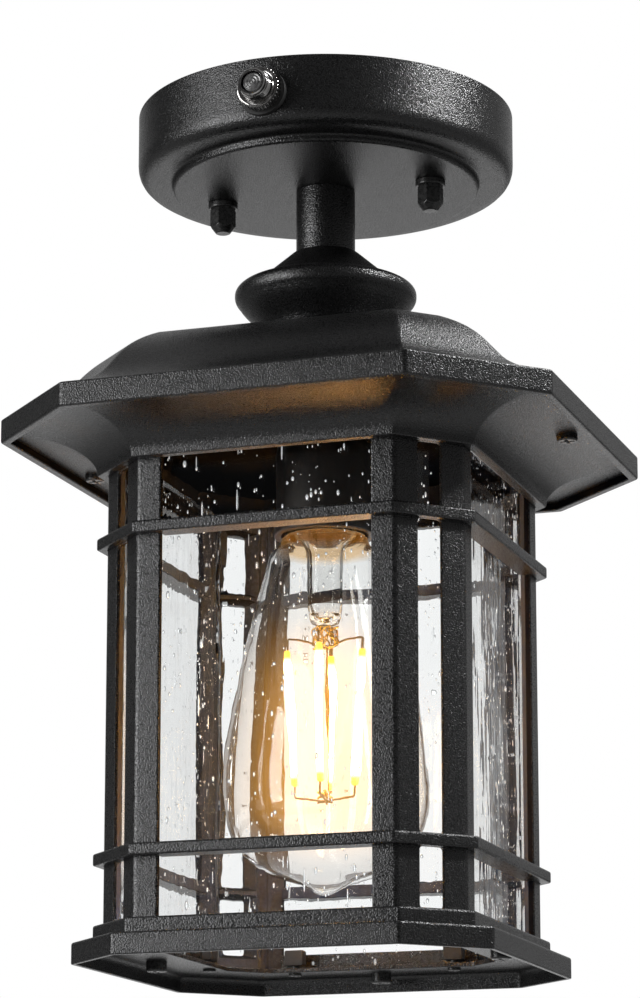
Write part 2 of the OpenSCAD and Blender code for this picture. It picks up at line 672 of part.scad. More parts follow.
module lamp_holder() color("black") difference() {
    rotate_extrude($fn = round_fn) polygon([[0, holder_z], [holder_r, holder_z],
        [holder_r, holder_z + lip_h], [holder_r - lip_out, holder_z + lip_h + lip_out],
        [holder_r - lip_out, ceiling_z], [pipe_d / 2 + 3, ceiling_z + crown_h],
        [0, ceiling_z + crown_h]]);
    translate([0, 0, holder_z - 1]) cylinder(h = holder_depth + 1, r = holder_in_r, $fn = round_fn);
    translate([0, 0, pipe_bottom_z]) cylinder(h = crown_h, d = pipe_d + fit, $fn = round_fn);
    translate([0, 0, ceiling_z - 1]) cylinder(h = crown_h, d = pipe_bore, $fn = round_fn);
}

module holder_insulator() color("beige")
    washer(shell_top_z, 2 * (holder_in_r - fit), contact_r, insulator_t);

module holder_shell() color("goldenrod") translate([0, 0, shell_top_z - shell_l]) difference() {
    cylinder(h = shell_l, r = bore_r + shell_t, $fn = round_fn);
    translate([0, 0, -1]) cylinder(h = shell_l + 2, r = bore_r, $fn = round_fn);
}

module holder_contact() color("goldenrod") rotate_extrude($fn = round_fn)
    polygon(concat([[0, shell_top_z], [contact_r, shell_top_z]],
        arc(0, shell_top_z, contact_r, contact_h, 0, -90, 8)));

// ---------------------------------------------------------------- bulb

bulb_r = bulb_d / 2;
contact_gap = 0.3;
contact_z = shell_top_z - contact_h - contact_gap;   // the tip of the bulb's contact
contact_dome = 0.8;
cap_l = 25.6;                                // from that tip to the cap's rim
cap_rim_z = contact_z - cap_l;
cap_nose = 4.6;                              // the black glass between contact and cap
cap_top_z = contact_z - cap_nose;
cap_neck_r = cap_d / 2 - 1.6;                // the folded-in top of the cap
neck_in_r = cap_d / 2 - 0.9;                 // the glass neck, glued into the cap
glass_neck_r = neck_in_r + 1.9;              // the same neck just outside the cap
nub_r = 4;
nub_h = 3.3;                                 // the sealed tip under the bulb's bottom
belly_h = bulb_r * 0.96;
belly_z = bulb_tip_z + nub_h + belly_h;
fullness = 2.3;                              // 2 would make the bottom an ellipse
belly_lead = 13;                             // how far the glass goes straight up from the belly
shoulder = [bulb_r * 0.55, holder_z - 7.8];
shoulder_lead = [7.7, -25.7];                // and how it comes up to the shoulder
neck_seat = 4;                               // how far the glass neck stands in the cap

// Height above the bulb's lowest round at a radius that is a share of the bulb's own
function belly_rise(share) = belly_h * (1 - pow(1 - pow(share, fullness), 1 / fullness));

// The blown outline from the tip up into the cap, moved inwards by some distance
function bulb_outline(inset) = concat(
    [for (i = [0 : 4]) let (w = 22.5 * i)
        [nub_r * sin(w), bulb_tip_z + inset + (nub_h + belly_rise(nub_r / bulb_r)) * (1 - cos(w))]],
    [for (i = [1 : 12]) let (w = lerp(asin(nub_r / bulb_r), 90, i / 12))
        [(bulb_r - inset) * sin(w), belly_z - belly_h + inset + (belly_h - inset) / belly_h
            * belly_rise(sin(w))]],
    [for (i = [1 : 10]) bezier([bulb_r - inset, belly_z], [bulb_r - inset, belly_z + belly_lead],
        shoulder + shoulder_lead - [inset, 0], shoulder - [inset, 0], i / 10)],
    [for (i = [1 : 6]) bezier(shoulder - [inset, 0], shoulder + [-1.1 - inset, 3.8],
        [glass_neck_r - inset, holder_z - 4.2], [glass_neck_r - inset, holder_z - 1.2], i / 6)],
    [[neck_in_r - inset, cap_rim_z - 0.2], [neck_in_r - inset, cap_rim_z + neck_seat]]);

module bulb_glass() color("lightblue", 0.4) rotate_extrude($fn = round_fn) difference() {
    polygon(concat(bulb_outline(0), [[0, cap_rim_z + neck_seat]]));
    polygon(concat(bulb_outline(bulb_wall), [[neck_in_r - bulb_wall, cap_rim_z + 2 * neck_seat],
        [0, cap_rim_z + 2 * neck_seat]]));
}

thread_pitch = 3.63;
thread_depth = 0.7;
thread_turns = 5;
cap_hem = 1.4;             // the plain rim below the thread
insulator_r = cap_neck_r - 2;
sheet_t = 0.4;             // the cap's rolled brass

// The cap's rolled thread is drawn as rings: a wave with one crest for each turn
module bulb_cap() color("silver") rotate_extrude($fn = round_fn) difference() {
    polygon(concat([[0, cap_rim_z], [cap_d / 2 - 0.3, cap_rim_z]],
        [for (i = [0 : 8 * thread_turns])
            [cap_d / 2 - thread_depth * (1 + cos(45 * i)) / 2, cap_rim_z + cap_hem + i * thread_pitch / 8]],
        [[cap_neck_r, cap_top_z], [0, cap_top_z]]));
    polygon([[0, cap_rim_z - 1], [neck_in_r + fit, cap_rim_z - 1],
        [neck_in_r + fit, cap_rim_z + neck_seat + 2 * fit],
        [cap_neck_r - sheet_t, cap_rim_z + neck_seat + 2 * fit + sheet_t],
        [cap_neck_r - sheet_t, cap_top_z - sheet_t], [insulator_r, cap_top_z - sheet_t],
        [insulator_r, cap_top_z + 1], [0, cap_top_z + 1]]);
}

contact_tip_r = 4.6;
module bulb_insulator() color("black") rotate_extrude($fn = round_fn)
    polygon([[0, cap_top_z - sheet_t], [insulator_r - fit, cap_top_z - sheet_t],
        [insulator_r - fit, cap_top_z], [contact_tip_r + 0.8, contact_z - contact_dome],
        [0, contact_z - contact_dome]]);

module bulb_contact() color("silver") rotate_extrude($fn = round_fn)
    polygon(concat([[0, contact_z - contact_dome], [contact_tip_r, contact_z - contact_dome]],
        arc(0, contact_z - contact_dome, contact_tip_r, contact_dome, 0, 90, 6)));

mount_r = 5.8;
mount_top = [neck_in_r - bulb_wall - 0.3, holder_z + 1];
mount_flare = 8;
mount_round = 5;           // height of the rounding at the mount's foot
pinch_drop = 27.7;         // from the lamp holder's mouth to the pinch
pinch_z = holder_z - pinch_drop;
pinch = [7.7, 3, 7];       // the flat where the hot glass was pressed: wide, thick, high
wire_r = 0.35;

module bulb_mount() color("lightblue", 0.4) {
    rotate_extrude($fn = round_fn) polygon(concat(
        arc(0, pinch_z + mount_round, mount_r, mount_round, -90, 0, 6),
        arc(mount_top[0], mount_top[1] - mount_flare, mount_top[0] - mount_r, mount_flare, 180, 90, 6),
        [[0, mount_top[1]]]));
    rotate([0, 0, filament_turn]) translate([-pinch[0] / 2, -pinch[1] / 2, pinch_z - pinch[2]])
        cube([pinch[0], pinch[1], pinch[2] + 3]);
}

filament_turn = 18;        // the first filament's bearing, from +X
filament_r = 0.9;
filament_h = 44;
filament_top = [12, pinch_z - pinch[2] - 1.5];    // distance from the axis, height
filament_foot = [9.4, filament_top[1] - filament_h];
filament_turns = [for (i = [0 : 3]) filament_turn + 90 * i];
lean = (filament_top - filament_foot) / norm(filament_top - filament_foot);
wire_run_above = 3.2;      // the wires run on along each filament for this much
wire_run_below = 3;
wire_above = filament_top + wire_run_above * lean;
wire_below = filament_foot - wire_run_below * lean;
knot_r = 0.5;
star_r = 1.1;

function spot(p, turn) = [p[0] * cos(turn), p[0] * sin(turn), p[1]];

module bulb_filaments() color("gold") for (turn = filament_turns)
    rod(spot(filament_top, turn), spot(filament_foot, turn), filament_r);

// Knots at the bends keep the wires in one piece
module filament_wires() color("gray") {
    rod([0, 0, pinch_z - pinch[2]], [0, 0, wire_below[1]], wire_r);
    translate([0, 0, wire_below[1]]) sphere(star_r, $fn = 24);
    for (turn = filament_turns) {
        across = turn % 180 == filament_turn ? pinch[0] : pinch[1];
        start = [across / 2 + 0.25, pinch_z - pinch[2] + 2];
        rod(spot(start, turn), spot(wire_above, turn), wire_r);
        rod(spot(wire_above, turn), spot(filament_top, turn), wire_r);
        translate(spot(wire_above, turn)) sphere(knot_r, $fn = 24);
        rod([0, 0, wire_below[1]], spot(wire_below, turn), wire_r);
        rod(spot(wire_below, turn), spot(filament_foot, turn), wire_r);
        translate(spot(wire_below, turn)) sphere(knot_r, $fn = 24);
    }
}

crossbar();
ground_screw();
canopy();
canopy_screws();
cap_nut_collars();
cap_nuts();
sensor_body();
sensor_gasket();
sensor_ring_nut();
sensor_lens();
threaded_pipe();
canopy_pipe_washer();
canopy_pipe_nut();
stem();
collar();
roof();
roof_pipe_washer();
roof_pipe_nut();
soffit();
soffit_screws();
post_front_left();
post_front_right();
post_back_left();
post_back_right();
upper_band();
lower_band();
sill_ring();
base_ring();
base_screws();
pane_front();
pane_back();
pane_left();
pane_right();
corner_pane_front_left();
corner_pane_front_right();
corner_pane_back_left();
corner_pane_back_right();
glass_clips();
clip_screws();
lamp_holder();
holder_insulator();
holder_shell();
holder_contact();
bulb_glass();
bulb_cap();
bulb_insulator();
bulb_contact();
bulb_mount();
bulb_filaments();
filament_wires();
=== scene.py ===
"""Looks of the porch ceiling lantern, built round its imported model. Metres, Z up, front towards -Y.
Sizes in the sections are millimetres, and each piece's mesh is brought to metres when it is made."""

import math

import bmesh
import bpy
import numpy as np
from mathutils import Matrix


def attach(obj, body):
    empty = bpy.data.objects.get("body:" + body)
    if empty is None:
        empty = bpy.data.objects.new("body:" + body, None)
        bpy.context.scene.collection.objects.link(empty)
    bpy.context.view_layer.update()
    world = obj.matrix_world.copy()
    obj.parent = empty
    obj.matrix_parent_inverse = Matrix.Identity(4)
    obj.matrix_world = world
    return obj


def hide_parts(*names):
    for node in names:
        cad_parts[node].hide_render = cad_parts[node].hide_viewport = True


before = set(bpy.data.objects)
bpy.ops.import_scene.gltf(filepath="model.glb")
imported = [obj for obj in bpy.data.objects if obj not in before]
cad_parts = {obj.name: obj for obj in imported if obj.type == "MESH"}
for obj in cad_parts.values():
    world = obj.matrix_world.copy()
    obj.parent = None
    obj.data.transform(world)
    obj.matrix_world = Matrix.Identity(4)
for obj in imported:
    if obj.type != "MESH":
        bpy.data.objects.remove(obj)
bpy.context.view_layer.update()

# ---------------- canopy
# A cup of 1.2 mm steel, spun over a form, with a disc pressed into its face. It is powder coated
# matt black with a sand texture and pulled up to the ceiling by two cap nuts.
CANOPY_R, SHEET, FACE_Z = 60.75, 1.2, -21.6
DISC_R, DISC_IN, DISC_Z, BORE_R = 49.5, 48.4, -24.2, 5.1
COAT_DARK, COAT_LIGHT = (0.0026, 0.0026, 0.0027), (0.0110, 0.0110, 0.0112)
COAT_FLECK = (0.062, 0.062, 0.064)


def softened(corners, cut, steps=4, closed=True):
    """Rounds the corners of paths. Each corner becomes the parabola
    (1-t)^2 before + 2t(1-t) corner + t^2 after, where before and after lie cut away from it."""
    p = np.asarray(corners, float)
    back, on = np.roll(p, 1, -2) - p, np.roll(p, -1, -2) - p
    back_l = np.linalg.norm(back, axis=-1, keepdims=True)
    on_l = np.linalg.norm(on, axis=-1, keepdims=True)
    cut = np.broadcast_to(np.asarray(cut, float), p.shape[:-1])[..., None]
    cut = np.minimum(cut, 0.48 * np.minimum(back_l, on_l))
    t = np.linspace(0, 1, steps + 1)[:, None]
    before, after = p + back / back_l * cut, p + on / on_l * cut
    curve = (1 - t) ** 2 * before[..., None, :] + 2 * t * (1 - t) * p[..., None, :]
    curve = curve + t**2 * after[..., None, :]
    if not closed:
        inner = curve[1:-1].reshape(-1, p.shape[-1])
        return np.vstack([p[:1], inner, p[-1:]])
    return curve.reshape(*p.shape[:-2], -1, p.shape[-1])


def quads(rows, around, loop):
    """Faces between each closed row of points and the next one, and from the last to the first
    with loop."""
    i = np.arange(rows if loop else rows - 1)[:, None]
    j = np.arange(around)[None, :]
    here, there, k = i * around, (i + 1) % rows * around, (j + 1) % around
    return np.stack([here + j, here + k, there + k, there + j], -1).reshape(-1, 4)


def turns(count):
    """Angles that divide a whole turn."""
    return np.linspace(0, 2 * np.pi, count, endpoint=False)


def lathed(profile, around=160):
    """Turns (radius, height) points round Z: x = r cos w, y = r sin w. A profile from axis to
    axis closes in poles, and any other is a closed outline, counter-clockwise for a solid."""
    p = np.asarray(profile, float)
    poles = abs(p[0, 0]) < 1e-9
    w = turns(around)
    ring = p[1:-1] if poles else p
    points = [ring[:, :1] * np.cos(w), ring[:, :1] * np.sin(w), np.repeat(ring[:, 1:], around, 1)]
    points = np.stack(points, -1).reshape(-1, 3)
    faces = [quads(len(ring), around, not poles)]
    if poles:
        j = np.arange(around)
        k, end = (j + 1) % around, len(points)
        last = (len(ring) - 1) * around
        points = np.vstack([points, [[0, 0, p[0, 1]], [0, 0, p[-1, 1]]]])
        faces += [np.stack([np.full(around, end), k, j], -1)]
        faces += [np.stack([np.full(around, end + 1), last + j, last + k], -1)]
    return points, faces


def piece(name, shape, finish, crisp=32, hollow=False):
    """An object of points in millimetres and their faces. Doubles are merged, edges that turn by
    more than crisp degrees stay sharp, and normals lean on the larger faces."""
    points, faces = shape
    mesh = bpy.data.meshes.new(name)
    mesh.from_pydata((points * 0.001).tolist(), [], [f for rows in faces for f in rows.tolist()])
    work = bmesh.new()
    work.from_mesh(mesh)
    bmesh.ops.remove_doubles(work, verts=work.verts, dist=1e-6)
    if not hollow:
        bmesh.ops.recalc_face_normals(work, faces=work.faces)
    work.to_mesh(mesh)
    work.free()
    mesh.shade_smooth()
    mesh.set_sharp_from_angle(angle=math.radians(crisp))
    mesh.materials.append(finish)
    made = bpy.data.objects.new(name, mesh)
    bpy.context.scene.collection.objects.link(made)
    made.modifiers.new("normals", "WEIGHTED_NORMAL").keep_sharp = True
    return made


def fasten(made, slot, *nodes, body="fixture"):
    """Attaches a piece to the body it rides on and hides the CAD nodes that it stands for. The slot is not
    used.
    """
    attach(made, body)
    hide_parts(*nodes)


def finish(name, **sockets):
    """A material whose one shader has these sockets set."""
    made = bpy.data.materials.new(name)
    made.use_nodes = True
    shader = made.node_tree.nodes["Principled BSDF"]
    for socket, value in sockets.items():
        shader.inputs[socket.replace("_", " ")].default_value = value
    return made


def node(tree, kind, *feeds, **given):
    """Adds a shader node. Feeds go to its inputs in order, and given names are inputs or else
    settings. A socket is linked and a value is set."""
    made = tree.nodes.new("ShaderNode" + kind)
    for name in [n for n in given if n.replace("_", " ") not in made.inputs]:
        setattr(made, name, given.pop(name))
    wanted = list(enumerate(feeds)) + [(n.replace("_", " "), v) for n, v in given.items()]
    for key, value in wanted:
        if isinstance(value, bpy.types.NodeSocket):
            tree.links.new(value, made.inputs[key])
        elif value is not None:
            made.inputs[key].default_value = value
    return made


def drive(made, **links):
    """Links node outputs to sockets of a material's shader."""
    shader = made.node_tree.nodes["Principled BSDF"]
    for socket, source in links.items():
        made.node_tree.links.new(source, shader.inputs[socket.replace("_", " ")])


def ramp(tree, source, *stops):
    """A colour ramp through (position, colour) stops, with grey given as one number."""
    made = node(tree, "ValToRGB", source)
    elements = made.color_ramp.elements
    while len(elements) < len(stops):
        elements.new(0.5)
    for element, (position, colour) in zip(elements, stops):
        element.position = position
        colour = colour if hasattr(colour, "__len__") else (colour,) * 3
        element.color = (*colour, 1)
    return made.outputs[0]


def noise(tree, place, scale, **given):
    """The value of a noise texture at a place."""
    return node(tree, "TexNoise", Vector=place, Scale=scale, **given).outputs[0]


def sanded(made, grains=2600.0, flecks=2700.0, relief=0.00014):
    """Powder coat with a sand texture: noise with about 0.4 mm from grain to grain raises it by
    relief metres, darker and glossier between the grains and lighter and more matt on top, and a
    second noise picks out flecks that reflect more."""
    tree = made.node_tree
    place = node(tree, "TexCoord").outputs["Object"]
    grain = noise(tree, place, grains, Detail=0.0)
    bright = ramp(tree, noise(tree, place, flecks, Detail=0.0), (0.54, 0.0), (0.64, 1.0))
    colour = ramp(tree, grain, (0.40, COAT_DARK), (0.64, COAT_LIGHT))
    colour = node(tree, "MixRGB", bright, colour, (*COAT_FLECK, 1)).outputs[0]
    rough = ramp(tree, grain, (0.36, 0.24), (0.62, 0.34))
    bump = node(tree, "Bump", Strength=1.0, Distance=relief, Height=grain)
    drive(made, Base_Color=colour, Roughness=rough, Metallic=bright, Normal=bump.outputs[0])
    return made


powder_coat = sanded(finish("powder_coat"))

canopy_path = [(CANOPY_R, 0), (CANOPY_R - SHEET, 0), (CANOPY_R - SHEET, FACE_Z + SHEET),
               (DISC_IN, FACE_Z + SHEET), (DISC_IN, DISC_Z + SHEET), (BORE_R, DISC_Z + SHEET),
               (BORE_R, DISC_Z), (DISC_R, DISC_Z), (DISC_R, FACE_Z), (CANOPY_R, FACE_Z)]
canopy_cuts = [0.3, 0.3, 3.4, 1.0, 1.0, 0.2, 0.2, 1.5, 1.3, 5.4]
canopy = piece("canopy_cup", lathed(softened(canopy_path, canopy_cuts, 7), 256), powder_coat)
fasten(canopy, "coat", "canopy")

# ---------------- cap nuts
# Black cap nuts, hexagonal with a coned end, on the ends of the canopy screws. Each has a turned
# collar above it that presses on the canopy's disc.
STUD_X, STUD_R, NUT_TOP, NUT_END, NUT_TIP = 35.5, 2.1, -26.1, -8.2, 2.6
NUT_R, NUT_FLAT, NUT_COLLAR_R = 4.2147, 3.65, 4.8


def spread(tree, value, low, high, least=0.0, most=1.0):
    """A value carried from the range low to high to the one from least to most, and held there."""
    made = node(tree, "MapRange", Value=value, From_Min=low, From_Max=high, To_Min=least, To_Max=most)
    return made.outputs[0]


def speckled(name, scale, depth, light, dark, matt, gloss, **sockets):
    """A grained surface: fine noise in object space raises the grain by depth metres, and turns
    the colour from dark to light and the roughness from gloss to matt."""
    made = finish(name, **sockets)
    tree = made.node_tree
    grain = noise(tree, node(tree, "TexCoord").outputs["Object"], scale, Detail=2.0, Roughness=0.6)
    colour = ramp(tree, grain, (0.36, dark), (0.68, light))
    rough = spread(tree, grain, 0.35, 0.65, gloss, matt)
    bump = node(tree, "Bump", Strength=1.0, Distance=depth, Height=grain)
    drive(made, Base_Color=colour, Roughness=rough, Normal=bump.outputs[0])
    return made


def joined(*shapes):
    """Several shapes as one, each with its own points."""
    starts = np.cumsum([0] + [len(points) for points, _ in shapes])
    faces = [f + start for (_, fs), start in zip(shapes, starts) for f in fs]
    return np.vstack([points for points, _ in shapes]), faces


def moved(shape, x=0.0, y=0.0, z=0.0):
    """A shape carried by (x, y, z)."""
    return shape[0] + [x, y, z], shape[1]


def pair(shape, x, z=0.0):
    """A shape carried by (-x, 0, z) and by (x, 0, z)."""
    return joined(moved(shape, -x, 0, z), moved(shape, x, 0, z))


def tube(rows, around):
    """Faces between rows of points, and one flat face over each end."""
    ring = np.arange(around)[None, :]
    return [quads(rows, around, False), ring[:, ::-1], (rows - 1) * around + ring]


def hexed(heights, cones, flat, around=96):
    """A hexagonal bar turned down by a cone: radius is the smaller of flat / cos(w from the middle
    of a flat) and the cone's own radius at each height."""
    w = turns(around)
    side = flat / np.cos((w + np.pi / 6) % (np.pi / 3) - np.pi / 6)
    r = np.minimum(side[None, :], np.asarray(cones, float)[:, None])
    z = np.repeat(np.asarray(heights, float)[:, None], around, 1)
    return np.stack([r * np.cos(w), r * np.sin(w), z], -1).reshape(-1, 3), tube(len(heights), around)


black_steel = speckled("black_fasteners", 900, 0.00003, 0.026, 0.013, 0.34, 0.22)

cone_z = [NUT_END, NUT_END + 0.15, NUT_END + NUT_TIP, -0.35, 0]
nut_z = np.concatenate([cone_z[:2], np.linspace(NUT_END + 0.35, NUT_END + NUT_TIP, 12), cone_z[3:]])
nut = hexed(nut_z, np.interp(nut_z, cone_z, [2.1, 2.4, NUT_R, NUT_R, 3.9]), NUT_FLAT)
cap_nuts = piece("cap_nuts_turned", pair(nut, STUD_X, NUT_TOP), black_steel, 24)
fasten(cap_nuts, "black_fasteners", "cap_nuts")

nut_collar = [(NUT_COLLAR_R, NUT_TOP), (NUT_COLLAR_R, DISC_Z), (STUD_R, DISC_Z), (STUD_R, NUT_TOP)]
nut_collar = lathed(softened(nut_collar, [0.5, 0.25, 0.1, 0.1]), 72)
nut_collars = piece("cap_nut_collars_turned", pair(nut_collar, STUD_X), black_steel)
fasten(nut_collars, "black_fasteners", "cap_nut_collars")

# ---------------- light sensor
# A dusk sensor through the canopy's front: a black moulded housing, its threaded barrel of nickelled
# brass with a stepped nose, a rubber washer, a knurled ring nut and a small round lens.
SENSOR_Z, THREAD_R, LENS_R, LENS_BACK = -11.6, 4.8, 3.265, 68.15
KNURLS, RING_FROM, RING_TO = 36, 62.45, 66.85
BOX_X, BOX_Y, BOX_FROM, BOX_TO, BOX_CUT = 10, 6.5, 39.05, 56.05, 0.6

dark_nickel = speckled("dark_nickel", 500, 0.00001,
                       (0.50, 0.49, 0.48), (0.36, 0.355, 0.35), 0.2, 0.1, Metallic=1.0)
lens_window = speckled("sensor_window",
                       700, 0.000005, 0.13, 0.06, 0.24, 0.1, IOR=1.5, Coat_Weight=1.0, Coat_Roughness=0.05)
rubber = speckled("gasket_rubber", 1300, 0.00002, 0.018, 0.009, 0.62, 0.5)
sensor_plastic = speckled("sensor_black", 1200, 0.00002, 0.030, 0.018, 0.5, 0.38)


def to_front(shape):
    """Lays a shape turned about Z along the sensor's axis: (x, y, z) becomes (x, -z, y + SENSOR_Z)."""
    x, y, z = shape[0].T
    return np.stack([x, -z, y + SENSOR_Z], -1), shape[1]


def of_faces(made, what, each):
    """What every face of a piece has, such as its center, normal or area, in rows of each numbers."""
    values = np.empty(len(made.data.polygons) * each)
    made.data.polygons.foreach_get(what, values)
    return values.reshape(-1, each)


def add_finish(made, extra, chosen):
    """Gives a further material to the chosen faces of a piece."""
    mesh = made.data
    index = np.empty(len(mesh.polygons), np.int32)
    mesh.polygons.foreach_get("material_index", index)
    index[chosen] = len(mesh.materials)
    mesh.materials.append(extra)
    mesh.polygons.foreach_set("material_index", index)


def keep(name, made):
    """Gives a CAD node, whose shape is right, its finish."""
    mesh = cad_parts[name].data
    mesh.materials.clear()
    mesh.materials.append(made)


# Each row of the ring nut is its place along the axis, its radius and the depth of its knurls.
ring = np.array([(RING_FROM, 5.0, 0), (RING_FROM, 6.5, 0), (RING_FROM + 0.5, 6.85, 0.2),
                 (RING_FROM + 0.9, 6.9, 0.42), (RING_TO - 1.3, 6.9, 0.42), (RING_TO - 0.9, 6.6, 0),
                 (RING_TO - 0.85, 6.2, 0), (RING_TO, 6.05, 0), (RING_TO, 5.6, 0),
                 (RING_TO - 0.2, 4.95, 0), (RING_FROM, 4.95, 0)])
ring_w = turns(8 * KNURLS)
ring_r = ring[:, 1:2] - ring[:, 2:] * (0.5 - 0.5 * np.cos(KNURLS * ring_w))
ring_s = np.repeat(ring[:, :1], len(ring_w), 1)
ring_points = np.stack([ring_r * np.cos(ring_w), ring_r * np.sin(ring_w), ring_s], -1)
ring_nut = (ring_points.reshape(-1, 3), [quads(len(ring), len(ring_w), True)])
ring_nut = piece("sensor_ring_nut_knurled", to_front(ring_nut), dark_nickel, 28)
fasten(ring_nut, "dark_nickel", "sensor_ring_nut")

thread_s = np.linspace(58.5, 68.6, 60)
thread_r = THREAD_R - 0.12 * (1 + np.cos(2 * np.pi * thread_s / 0.9))
nose = [(4.45, 69.0), (4.45, 69.6), (4.3, 69.8), (4.3, 71.05), (4.05, 71.35), (3.55, 71.35),
        (3.45, 71.1), (3.45, 70.9), (3.4, 70.2), (3.37, 68.0), (0.0, 68.0)]
barrel = np.vstack([[(0.0, 56.0), (4.7, 56.0)], np.stack([thread_r, thread_s], -1), nose])
box_ends = (BOX_CUT, BOX_FROM), (0, BOX_FROM + BOX_CUT), (0, BOX_TO - BOX_CUT), (BOX_CUT, BOX_TO)
box_lines = []
for inset, level in box_ends:
    x, y = BOX_X - inset, BOX_Y - inset
    line = softened([(x, -y), (x, y), (-x, y), (-x, -y)], 1.2, 4)
    box_lines.append(np.column_stack([line, np.full(len(line), level)]))
housing = (np.vstack(box_lines), tube(len(box_lines), len(box_lines[0])))
sensor = piece("sensor_barrel", to_front(joined(lathed(barrel, 96), housing)), dark_nickel, 28)
add_finish(sensor, sensor_plastic, of_faces(sensor, "center", 3)[:, 1] * -1000 < BOX_TO + 0.1)
fasten(sensor, "sensor_black", "sensor_body")
keep("sensor_gasket", rubber)

lens_r = np.linspace(0, 1, 60)[::-1]
lens_s = 70.05 + 0.86 * np.sqrt(1 - lens_r**2) + 0.11 * np.cos(2 * np.pi * 3.5 * lens_r)
lens_path = np.vstack([[(0.0, LENS_BACK), (LENS_R, LENS_BACK)], np.stack([LENS_R * lens_r, lens_s], -1)])
sensor_lens = piece("sensor_lens_ground", to_front(lathed(lens_path, 72)), lens_window)
fasten(sensor_lens, "sensor_window", "sensor_lens")

# ---------------- stem and collar
# The stem is a 3/4 inch steel tube. It stands in a cast collar, turned with a coned top, a rolled
# lip and a waisted neck, and both have the powder coat.
STEM_R, STEM_FOOT = 9.525, -57.5
LIP_X, LIP_R, COLLAR_NECK, COLLAR_FOOT, ROOF_Z = 24.3, 5, 18.8, 20.8, -81.7


def bezier(p, q, r, s, count):
    """Points of (1-t)^3 p + 3t(1-t)^2 q + 3t^2(1-t) r + t^3 s, with t from 0 to 1."""
    t = np.linspace(0, 1, count)[:, None]
    p, q, r, s = (np.asarray(v, float) for v in (p, q, r, s))
    return (1 - t) ** 3 * p + 3 * t * (1 - t) ** 2 * q + 3 * t**2 * (1 - t) * r + t**3 * s


def oval(x, z, rx, rz, start, end, count):
    """Points of an ellipse's arc: (x + rx cos w, z + rz sin w), with w in degrees."""
    w = np.radians(np.linspace(start, end, count))
    return np.stack([x + rx * np.cos(w), z + rz * np.sin(w)], -1)


stem_wall = [(STEM_R, STEM_FOOT), (STEM_R, DISC_Z), (STEM_R - SHEET, DISC_Z), (STEM_R - SHEET, STEM_FOOT)]
stem = piece("stem_tube", lathed(softened(stem_wall, 0.25), 128), powder_coat)
fasten(stem, "coat", "stem")

collar_cone = softened([(9.62, STEM_FOOT), (9.62, -45.5), (10.75, -45.5), (21.5, -54.9), (LIP_X, -56.0)],
                       [0.2, 0.2, 0.6, 1.6, 0.1], 6, False)
collar_lip = oval(LIP_X, -59.4, LIP_R, 3.38, 88, 0, 18)
collar_under = oval(LIP_X, -59.9, LIP_R, 3.9, 0, -38, 10)
collar_bell = bezier((27.7, -63.1), (LIP_X, -68.1), (19.3, -69.1), (COLLAR_NECK, -75.7), 30)
collar_foot = softened([(COLLAR_NECK, -76.5), (COLLAR_NECK, -78.3), (COLLAR_FOOT, -79.7),
                        (COLLAR_FOOT, ROOF_Z), (BORE_R, ROOF_Z), (BORE_R, STEM_FOOT - 1)],
                       [0.2, 1.0, 0.6, 0.3, 0.2, 0.2], 5, False)
collar_path = np.vstack([collar_cone, collar_lip, collar_under, collar_bell, collar_foot])[::-1]
fasten(piece("collar_turned", lathed(collar_path, 200), powder_coat), "coat", "collar")

# ---------------- roof
# The roof is pressed from sheet as one eight-sided ogee with an upright fascia round its edge.
# The pipe nut inside clamps it under the collar. Inside it has a darker, duller, cooler lining that is
# painted shade.
FASCIA_Z, EAVES_Z, ROOF_SHEET = -106.8, -114.4, 2.2
TOP_A, TOP_B, FASCIA_A, FASCIA_B, FASCIA_IN = 50, 38.4, 89.2, 54.4, 86.2
CORNER_FAR = 1.19

# Painted shade: a darker, cooler, duller lining with little gloss for faces inside the lantern.
painted_shade_lining = speckled("painted_shade_lining", 900, 0.00004,
                     (0.0050, 0.0060, 0.0100), (0.0030, 0.0036, 0.0060), 0.95, 0.8, Specular_IOR_Level=0.06)


def octagonal(rows, cut=0.6, steps=3):
    """Carries a closed profile of (a, b, z) rows round eight sides. Each row's corners are (b, a),
    (a, b) and their mirror images, softened by cut."""
    a, b, z = np.asarray(rows, float).T
    corners = [(a, -b), (a, b), (b, a), (-b, a), (-a, b), (-a, -b), (-b, -a), (b, -a)]
    corners = np.stack([np.stack(c, -1) for c in corners], 1)
    outline = softened(corners, cut, steps)
    around = outline.shape[1]
    points = np.concatenate([outline, np.repeat(z[:, None, None], around, 1)], -1)
    return points.reshape(-1, 3), [quads(len(a), around, True)]


def line_inside(made, low, high, reach, lining, flat=None):
    """Gives a second finish, the lining of painted shade, to the faces between two heights whose middle
    lies nearer the axis than reach, measured square to the sides, and that don't look outwards, and a
    third, the flat one of painted light, to those of them that look at the axis. A corner face lies
    CORNER_FAR times as far out as a wide one. In millimetres."""
    middle, normal = of_faces(made, "center", 3) * 1000, of_faces(made, "normal", 3)
    outward = np.einsum("ij,ij->i", middle[:, :2], normal[:, :2])
    x, y, z = abs(middle[:, 0]), abs(middle[:, 1]), middle[:, 2]
    near = np.maximum(np.maximum(x, y), (x + y) * math.sqrt(0.5) / CORNER_FAR) < reach
    inside = near & ~((outward > 0) & (normal[:, 2] > -0.2)) & (z > low) & (z < high)
    add_finish(made, lining, inside)
    if flat:
        add_finish(made, flat, inside & (-outward / np.hypot(x, y) > 0.78))


def ogee(drop, count=40):
    """The roof's ogee as (a, z) from the roof top to the fascia, moved down by drop: a Bezier curve
    that leaves the top at 24 degrees and meets the fascia at 13."""
    pull, top, foot = 25.48, np.radians(24), np.radians(13)
    leaves = (TOP_A + pull * np.cos(top), ROOF_Z - pull * np.sin(top))
    meets = (FASCIA_A - pull * np.cos(foot), FASCIA_Z + pull * np.sin(foot))
    return bezier((TOP_A, ROOF_Z), leaves, meets, (FASCIA_A, FASCIA_Z), count) - [0, drop]


